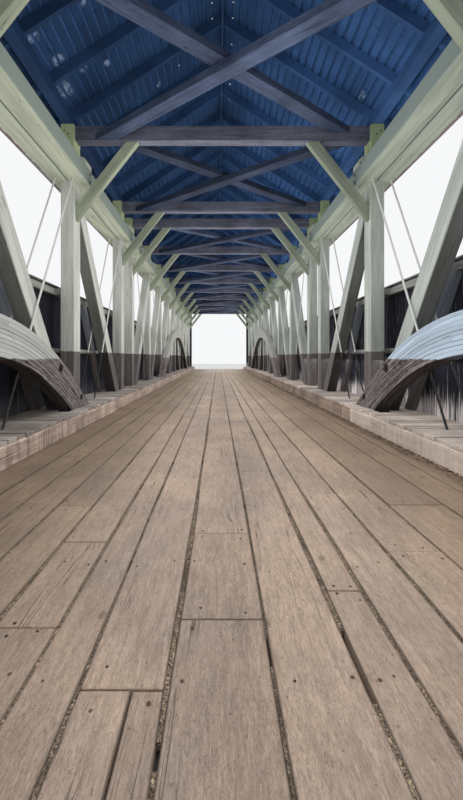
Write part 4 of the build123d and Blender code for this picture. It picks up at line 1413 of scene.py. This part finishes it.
# Heights of a shingle's underside and back at its head and its butt, and how much more
# a butt may be warped up or set back
SHINGLE_HEAD = (LATH_THICKNESS, LATH_THICKNESS + 0.003)
SHINGLE_BUTT = (LATH_THICKNESS + 0.009, LATH_THICKNESS + 0.018)
SHINGLE_WARP = 0.003
SHINGLE_RAGGED = 0.008
# Least distances from the ridge, down the slope: of a course's butts and of its heads
TOP_COURSE = 0.08
TOP_HEAD = 0.012
# Ridge board: width, lengths, and heights of its underside and back at both edges
RIDGE_BOARD = 0.14
RIDGE_LENGTHS = (2.4, 3.6)
RIDGE_HEIGHTS = ((0.033, 0.0445), (0.031, 0.043))
# Half the width of an open place between shingles
DAYLIGHT_GAP = 0.011
# Missing shingles that let daylight in, as places across and along the bridge
DAYLIGHT = (
    (0.16, -7.31), (0.16, -7.06), (0.16, -6.59), (0.16, -5.70), (0.16, -5.27), (0.16, -4.81),
    (0.16, -3.32), (-0.16, -7.30), (-0.16, -7.05), (-0.16, -6.48), (-0.16, -6.13),
    (-0.74, -6.60), (-1.12, -6.52), (0.62, -5.56), (0.16, 1.4), (-0.16, 3.2),
)


def on_slope(side, distance, height):
    """Place across the bridge and level, by distance down the slope and height over it."""
    x = distance / slope_secant + height * math.sin(slope_angle)
    z = roof_underside - distance * math.sin(slope_angle) + height * math.cos(slope_angle)
    return side * x, z


def slope_board(piece, side, d_range, y_range, heights, grain=ALONG):
    """A board in the plane of one roof slope, with its own heights at its upper and lower edge."""
    (d0, d1), ((low0, high0), (low1, high1)) = d_range, heights
    corners = ((d0, low0), (d1, low1), (d1, high1), (d0, high0))
    piece.along([on_slope(side, *corner) for corner in corners], y_range, grain)


def round_daylight(side, d_range, y_range):
    """Parts of a shingle that are left beside an open place, or the whole of it."""
    low, high = y_range
    for x, y in DAYLIGHT:
        if x * side > 0 and low - DAYLIGHT_GAP < y < high + DAYLIGHT_GAP:
            if d_range[0] < abs(x) * slope_secant < d_range[1]:
                parts = ((low, min(y - DAYLIGHT_GAP, high)), (max(y + DAYLIGHT_GAP, low), high))
                return [part for part in parts if part[1] - part[0] > SHINGLE_SLIVER]
    return [y_range]


def roof_laths(side):
    """Laths along the roof with gaps between them."""
    laths = Piece("roof_laths_" + HANDS[side], 100 + side)
    edge = 0.0
    gap = FIRST_GAP
    while edge < slope_length - LAST_LATH:
        d_range = (edge + LATH_SHRINKAGE, min(gap - LATH_GAP / 2, slope_length))
        for start, stop in lengths(laths.random, -roof_end, roof_end, LATH_LENGTHS):
            slope_board(laths, side, d_range, (start + BUTT, stop - BUTT),
                        ((0.0, LATH_THICKNESS),) * 2)
        edge = gap + LATH_GAP / 2
        gap += LATH_PITCH
    laths.finish("roof_lath", "roof_shingles")


def roof_shingles(side):
    """Shingles in courses from the eaves up, each with its own width and warp."""
    shingles = Piece("roof_shingles_" + HANDS[side], 104 + side)
    chance = shingles.random
    down = (side * math.cos(slope_angle), 0, -math.sin(slope_angle))
    butt = slope_length
    while butt > TOP_COURSE:
        head = max(butt - SHINGLE_LENGTH, TOP_HEAD)
        first = -roof_end - chance.uniform(0, 0.1)
        for start, stop in lengths(chance, first, roof_end, SHINGLE_WIDTHS, SHINGLE_SLIVER):
            y_range = (max(start, -roof_end) + SHINGLE_GAP[0], stop - SHINGLE_GAP[1])
            ragged = chance.uniform(-SHINGLE_RAGGED, 0.0)
            warp = chance.uniform(0, SHINGLE_WARP)
            heights = (SHINGLE_HEAD, (SHINGLE_BUTT[0], SHINGLE_BUTT[1] + warp))
            for part in round_daylight(side, (head, butt), y_range):
                slope_board(shingles, side, (head, butt + ragged), part, heights, down)
        butt -= SHINGLE_EXPOSURE
    shingles.finish("shingle", "roof_shingles", ["roof_" + HANDS[side]])


def ridge_boards(side):
    """Lengths of a board along the ridge, over the heads of the shingles."""
    ridge = Piece("ridge_cap_" + HANDS[side], 108 + side)
    for start, stop in lengths(ridge.random, -roof_end, roof_end, RIDGE_LENGTHS):
        slope_board(ridge, side, (0.0, RIDGE_BOARD), (start + 0.001, stop - 0.001), RIDGE_HEIGHTS)
    ridge.finish("shingle", "roof_shingles")


# Masonry

COURSE = 0.41
JOINT = 0.012
STONE_DEPTH = 0.16
SHORTEST_STONE = 0.5
LONGEST_STONE = 1.05
# An end stone shorter than this is left out, and the one before it runs on
END_STONE = 0.22
CORE_INSET = 0.03
# Flat stones on top of a wall: thickness, widths, and the shortest one at an end
TOP_STONE = 0.1
TOP_STONE_WIDTHS = (0.7, 1.1)
TOP_END_STONE = 0.3
# Heights above the foot, and distances from the middle along the bridge
seat = level(SEAT_LEVEL)
coping_foot = seat - COPING_DEPTH
abutment_face = half_length - BEARING_REACH
wall_face = deck_end + BACKWALL_CLEARANCE
wall_back = wall_face + BACKWALL


def stone_row(stones, start, stop, inward, z_range, lean=0.0):
    """Dressed stones along one side of a course, with their faces on the battered plane."""
    start, stop, inward = Vector(start), Vector(stop), Vector(inward)
    run = (stop - start).length
    way = (stop - start).normalized()
    places = [0.0]
    while run - places[-1] > LONGEST_STONE:
        places.append(places[-1] + stones.random.uniform(SHORTEST_STONE, LONGEST_STONE - 0.15))
    if run - places[-1] < END_STONE and len(places) > 1:
        places.pop()
    places.append(run)
    for a, b in pairwise(places):
        proud = stones.random.uniform(0.0, 0.012)
        rings = []
        for z in (z_range[0] + JOINT / 2, z_range[1] - JOINT / 2):
            shift = inward * (lean * z + proud)
            front = [start + way * (a + JOINT / 2) + shift, start + way * (b - JOINT / 2) + shift]
            back = [p + inward * STONE_DEPTH for p in front[::-1]]
            rings.append([(*p, z) for p in front + back])
        stones.prism(*rings, (way.x, way.y, 0), UP)


def courses(low, high, height=COURSE):
    """Bottom and top of each course between two heights above the foot."""
    count = max(1, round((high - low) / height))
    beds = [low + (high - low) * i / count for i in range(count + 1)]
    return list(pairwise(beds))


def plan_sides(plan):
    """Corners, way and inward direction of each side of a closed anticlockwise plan."""
    sides = []
    for a, b in pairwise([*plan, plan[0]]):
        way = (Vector(b) - Vector(a)).normalized()
        sides.append((a, b, way, Vector((-way.y, way.x))))
    return sides


def ring_walls(stones, plan, z_low, z_high, lean=0.0, height=COURSE):
    """Courses of stone round a closed plan."""
    for z_range in courses(z_low, z_high, height):
        for a, b, _, inward in plan_sides(plan):
            stone_row(stones, a, b, inward, z_range, lean)


def offset_plan(plan, inset):
    """A closed plan drawn in by a distance."""
    lines = [(Vector(a) + inward * inset, way) for a, _, way, inward in plan_sides(plan)]
    corners = []
    for (p, u), (q, v) in zip([lines[-1]] + lines[:-1], lines):
        t = ((q.x - p.x) * v.y - (q.y - p.y) * v.x) / (u.x * v.y - u.y * v.x)
        corners.append(tuple(p + u * t))
    return corners


def core(name, seed, material, plan, z_range, top_inset=CORE_INSET):
    """Mortar and rubble, or plain stone, behind the faces of the stones."""
    filling = Piece(name, seed)
    rings = [[(*p, z) for p in offset_plan(plan, inset)]
             for z, inset in zip(z_range, (CORE_INSET, top_inset))]
    filling.prism(*rings, UP)
    filling.finish(material, "masonry")


def top_stones(stones, half_width, y_range):
    """Large flat stones on top of a wall."""
    x = -half_width
    while x < half_width - 0.05:
        width = min(stones.random.uniform(*TOP_STONE_WIDTHS), half_width - x)
        if half_width - x - width < TOP_END_STONE:
            width = half_width - x
        stones.box((x + JOINT / 2, x + width - JOINT / 2), y_range, (-TOP_STONE, -0.002), ACROSS)
        x += width


def pier():
    """Coursed pier with pointed cutwaters under a projecting coping."""
    stones = Piece("pier_stones", 120)
    half = PIER_GAP / 2 + BEARING_REACH

    def plan(lip):
        """Six corners of the pier, with a lip round them."""
        flank, nose = PIER_HALF_LENGTH + lip, PIER_HALF_LENGTH + CUTWATER + lip
        low, high = pier_middle - half - lip, pier_middle + half + lip
        return [(flank, low), (nose, pier_middle), (flank, high), (-flank, high),
                (-nose, pier_middle), (-flank, low)]

    foot = offset_plan(plan(0), -BATTER * coping_foot)
    coping = plan(COPING_LIP)
    ring_walls(stones, foot, 0.0, coping_foot, BATTER)
    ring_walls(stones, coping, coping_foot, seat, 0.0, COPING_DEPTH)
    stones.finish("stone", "masonry", ["pier"], bevel=0.012)
    core("pier_mortar", 121, "mortar", foot, (0.0, coping_foot), BATTER * coping_foot + CORE_INSET)
    core("pier_top", 122, "stone_plain", coping, (coping_foot + 0.01, seat - 0.004))


def abutment_plan(side, low, high):
    """Plan across the whole width, between two distances from the middle."""
    low, high = sided(side, low, high)
    width = ABUTMENT_HALF_WIDTH
    return [(-width, low), (width, low), (width, high), (-width, high)]


def abutment_stones(side):
    """Stepped abutment: battered face, coping, seat and back wall up to the deck."""
    stones = Piece("abutment_stones_" + ENDS[side], 126 + side)
    width = ABUTMENT_HALF_WIDTH
    front = side * (abutment_face - BATTER * coping_foot)
    back = side * wall_back
    for z_range in courses(0.0, coping_foot):
        stone_row(stones, (-width, front), (width, front), (0, side), z_range, BATTER)
        stone_row(stones, (-width, back), (width, back), (0, -side), z_range)
        batter = BATTER * (coping_foot - z_range[0])
        start = side * (abutment_face - batter + STONE_DEPTH * 0.4)
        for x in (width, -width):
            stone_row(stones, (x, start), (x, back), (-math.copysign(1, x), 0), z_range)
    coping = abutment_plan(side, abutment_face - COPING_LIP, wall_back)
    ring_walls(stones, coping, coping_foot, seat, 0.0, COPING_DEPTH)
    ring_walls(stones, abutment_plan(side, wall_face, wall_back), seat, DECK_HEIGHT)
    top_stones(stones, width, sided(side, wall_face + 0.01, wall_back - 0.01))
    stones.finish("stone", "masonry", ["abutment_" + ENDS[side]], bevel=0.012)


def abutment_mortar(side):
    """Mortar and rubble inside the abutment, a little behind the faces of its stones."""
    filling = Piece("abutment_mortar_" + ENDS[side], 130 + side)
    width = ABUTMENT_HALF_WIDTH - CORE_INSET
    foot = abutment_face - BATTER * coping_foot + CORE_INSET
    face, wall, back = abutment_face + CORE_INSET, wall_face + CORE_INSET, wall_back - CORE_INSET
    top, ledge = DECK_HEIGHT - 0.02, seat - 0.003
    outline = [(foot, 0.0), (back, 0.0), (back, top), (wall, top), (wall, ledge), (face, ledge),
               (face, coping_foot)]
    filling.across([(side * y, z - DECK_HEIGHT) for y, z in outline], (-width, width), ALONG)
    filling.finish("mortar", "masonry")


# Pieces that are right as they are: their material and the width of their worn edges

PAIRED_NODES = {
    "posts": ("post", 0.008), "siding_rails": ("rail", 0.004),
    "counter_rods": ("painted_iron", 0), "rod_anchor_blocks": ("dark_x", 0),
    "rod_head_blocks": ("block", 0), "bottom_chord": ("dark_y", 0),
    "roof_plate": ("roof_frame_y", 0.006), "rafters": ("roof_frame_x", 0),
}
SINGLE_NODES = {
    "seat_timbers": ("dark_x", 0.01), "floor_beams": ("dark_x", 0.008),
    "stringers": ("dark_y", 0.006), "tie_beams": ("tie", 0.008), "ridge_board": ("roof_frame_y", 0),
}


def dress_frame():
    """Finish and worn edges of the frame's own pieces."""
    rows = {f"{name}_{hand}": row for name, row in PAIRED_NODES.items() for hand in HANDS.values()}
    for name, (material, bevel) in (rows | SINGLE_NODES).items():
        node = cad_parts[name]
        node.data.materials.clear()
        node.data.materials.append(materials[material])
        if bevel:
            soften(node, bevel)


# Light, ground and camera

GROUND_REACH = 300.0
GROUND_LEVEL = -0.002
QUARTER = math.radians(90)


def lamp(name, place, turn, size, strength):
    """A soft rectangular lamp, bright by its own face and not seen itself."""
    data = bpy.data.lights.new(name, "AREA")
    data.shape = "RECTANGLE"
    data.size, data.size_y = size
    data.energy = strength * math.pi * size[0] * size[1]
    lamp_object = bpy.data.objects.new(name, data)
    lamp_object.location = place
    lamp_object.rotation_euler = turn
    lamp_object.visible_camera = False
    lamp_object.visible_glossy = False
    bpy.context.scene.collection.objects.link(lamp_object)


def pale_ground():
    """Plain pale ground round the bridge."""
    corners = ((-1, -1), (1, -1), (1, 1), (-1, 1))
    mesh = bpy.data.meshes.new("ground")
    mesh.from_pydata([(x * GROUND_REACH, y * GROUND_REACH, GROUND_LEVEL) for x, y in corners],
                     [], [[0, 1, 2, 3]])
    ground = bpy.data.objects.new("ground", mesh)
    bpy.context.scene.collection.objects.link(ground)
    pale = Finish("pale_ground", 0.9)
    pale.put(pale.shader.inputs["Base Color"], (0.8, 0.8, 0.79))
    mesh.materials.append(pale.material)


def even_sky():
    """An even sky, a little whiter where it is seen itself."""
    world = bpy.data.worlds.new("even_sky")
    world.use_nodes = True
    sky = Nodes(world.node_tree)
    rays = sky.node("LightPath", {}).outputs
    seen = Field(sky, rays["Is Camera Ray"])
    for ray in ("Is Glossy Ray", "Is Transmission Ray"):
        seen = seen.most(Field(sky, rays[ray]))
    background = sky.tree.nodes["Background"]
    sky.put(background.inputs["Color"], sky.mix(seen, (0.9, 0.91, 0.93), (0.93, 0.94, 0.95)))
    background.inputs["Strength"].default_value = 1.0
    bpy.context.scene.world = world


def studio():
    """Soft lamps inside the bridge and at its two ends."""
    lamp("roadway_lamp", (0, 0, level(3.6)), (0, 0, 0), (3.4, 30.0), 1.5)
    lamp("roof_lamp", (0, 0, level(2.8)), (2 * QUARTER, 0, 0), (2.6, 30.0), 1.6)
    for side in (1, -1):
        lamp(f"truss_lamp_{side}", (0, 0, level(1.95)), (QUARTER, 0, -side * QUARTER),
             (30.0, 2.8), 0.88)
    lamp("ledge_lamp", (2.56, -7.6, level(0.95)), (0, 0, 0), (0.3, 10.0), 1.8)
    lamp("near_lamp", (0, -15.4, level(2.2)), (QUARTER, 0, 0), (3.6, 3.6), 0.15)
    lamp("far_lamp", (0, 16.4, level(2.0)), (QUARTER, 0, 2 * QUARTER), (3.8, 3.8), 1.6)


def camera():
    """The photograph's eye, level and looking along the bridge."""
    data = bpy.data.cameras.new("eye")
    data.sensor_width = 36
    data.sensor_fit = "AUTO"
    data.lens = FOCAL_PIXELS / PICTURE[1] * data.sensor_width
    data.shift_x = (PICTURE[0] / 2 - VANISHING_POINT[0]) / PICTURE[1]
    data.shift_y = (VANISHING_POINT[1] - PICTURE[1] / 2) / PICTURE[1]
    data.clip_start = 0.05
    data.clip_end = 1000
    eye = bpy.data.objects.new("eye", data)
    eye.location = (EYE[0], EYE[1], level(EYE[2]))
    eye.rotation_euler = (QUARTER, 0, 0)
    bpy.context.scene.collection.objects.link(eye)
    bpy.context.scene.camera = eye


def build():
    """The whole dressed bridge with its stage."""
    dress_frame()
    deck_planks()
    subfloor_boards()
    curbs()
    crumbs()
    bracing()
    for side in (-1, 1):
        for dress in (ledge_boards, braces, siding_struts, top_chords, knee_braces,
                      siding_boards, siding_cap, portal, roof_laths, roof_shingles,
                      ridge_boards, abutment_stones, abutment_mortar):
            dress(side)
        for span in ARCHES:
            arch_plies(span, side)
    arch_bolts()
    rod_nuts()
    frame_pegs()
    pier()
    pale_ground()
    even_sky()
    studio()
    camera()
    bpy.context.scene.view_settings.view_transform = "Standard"


build()
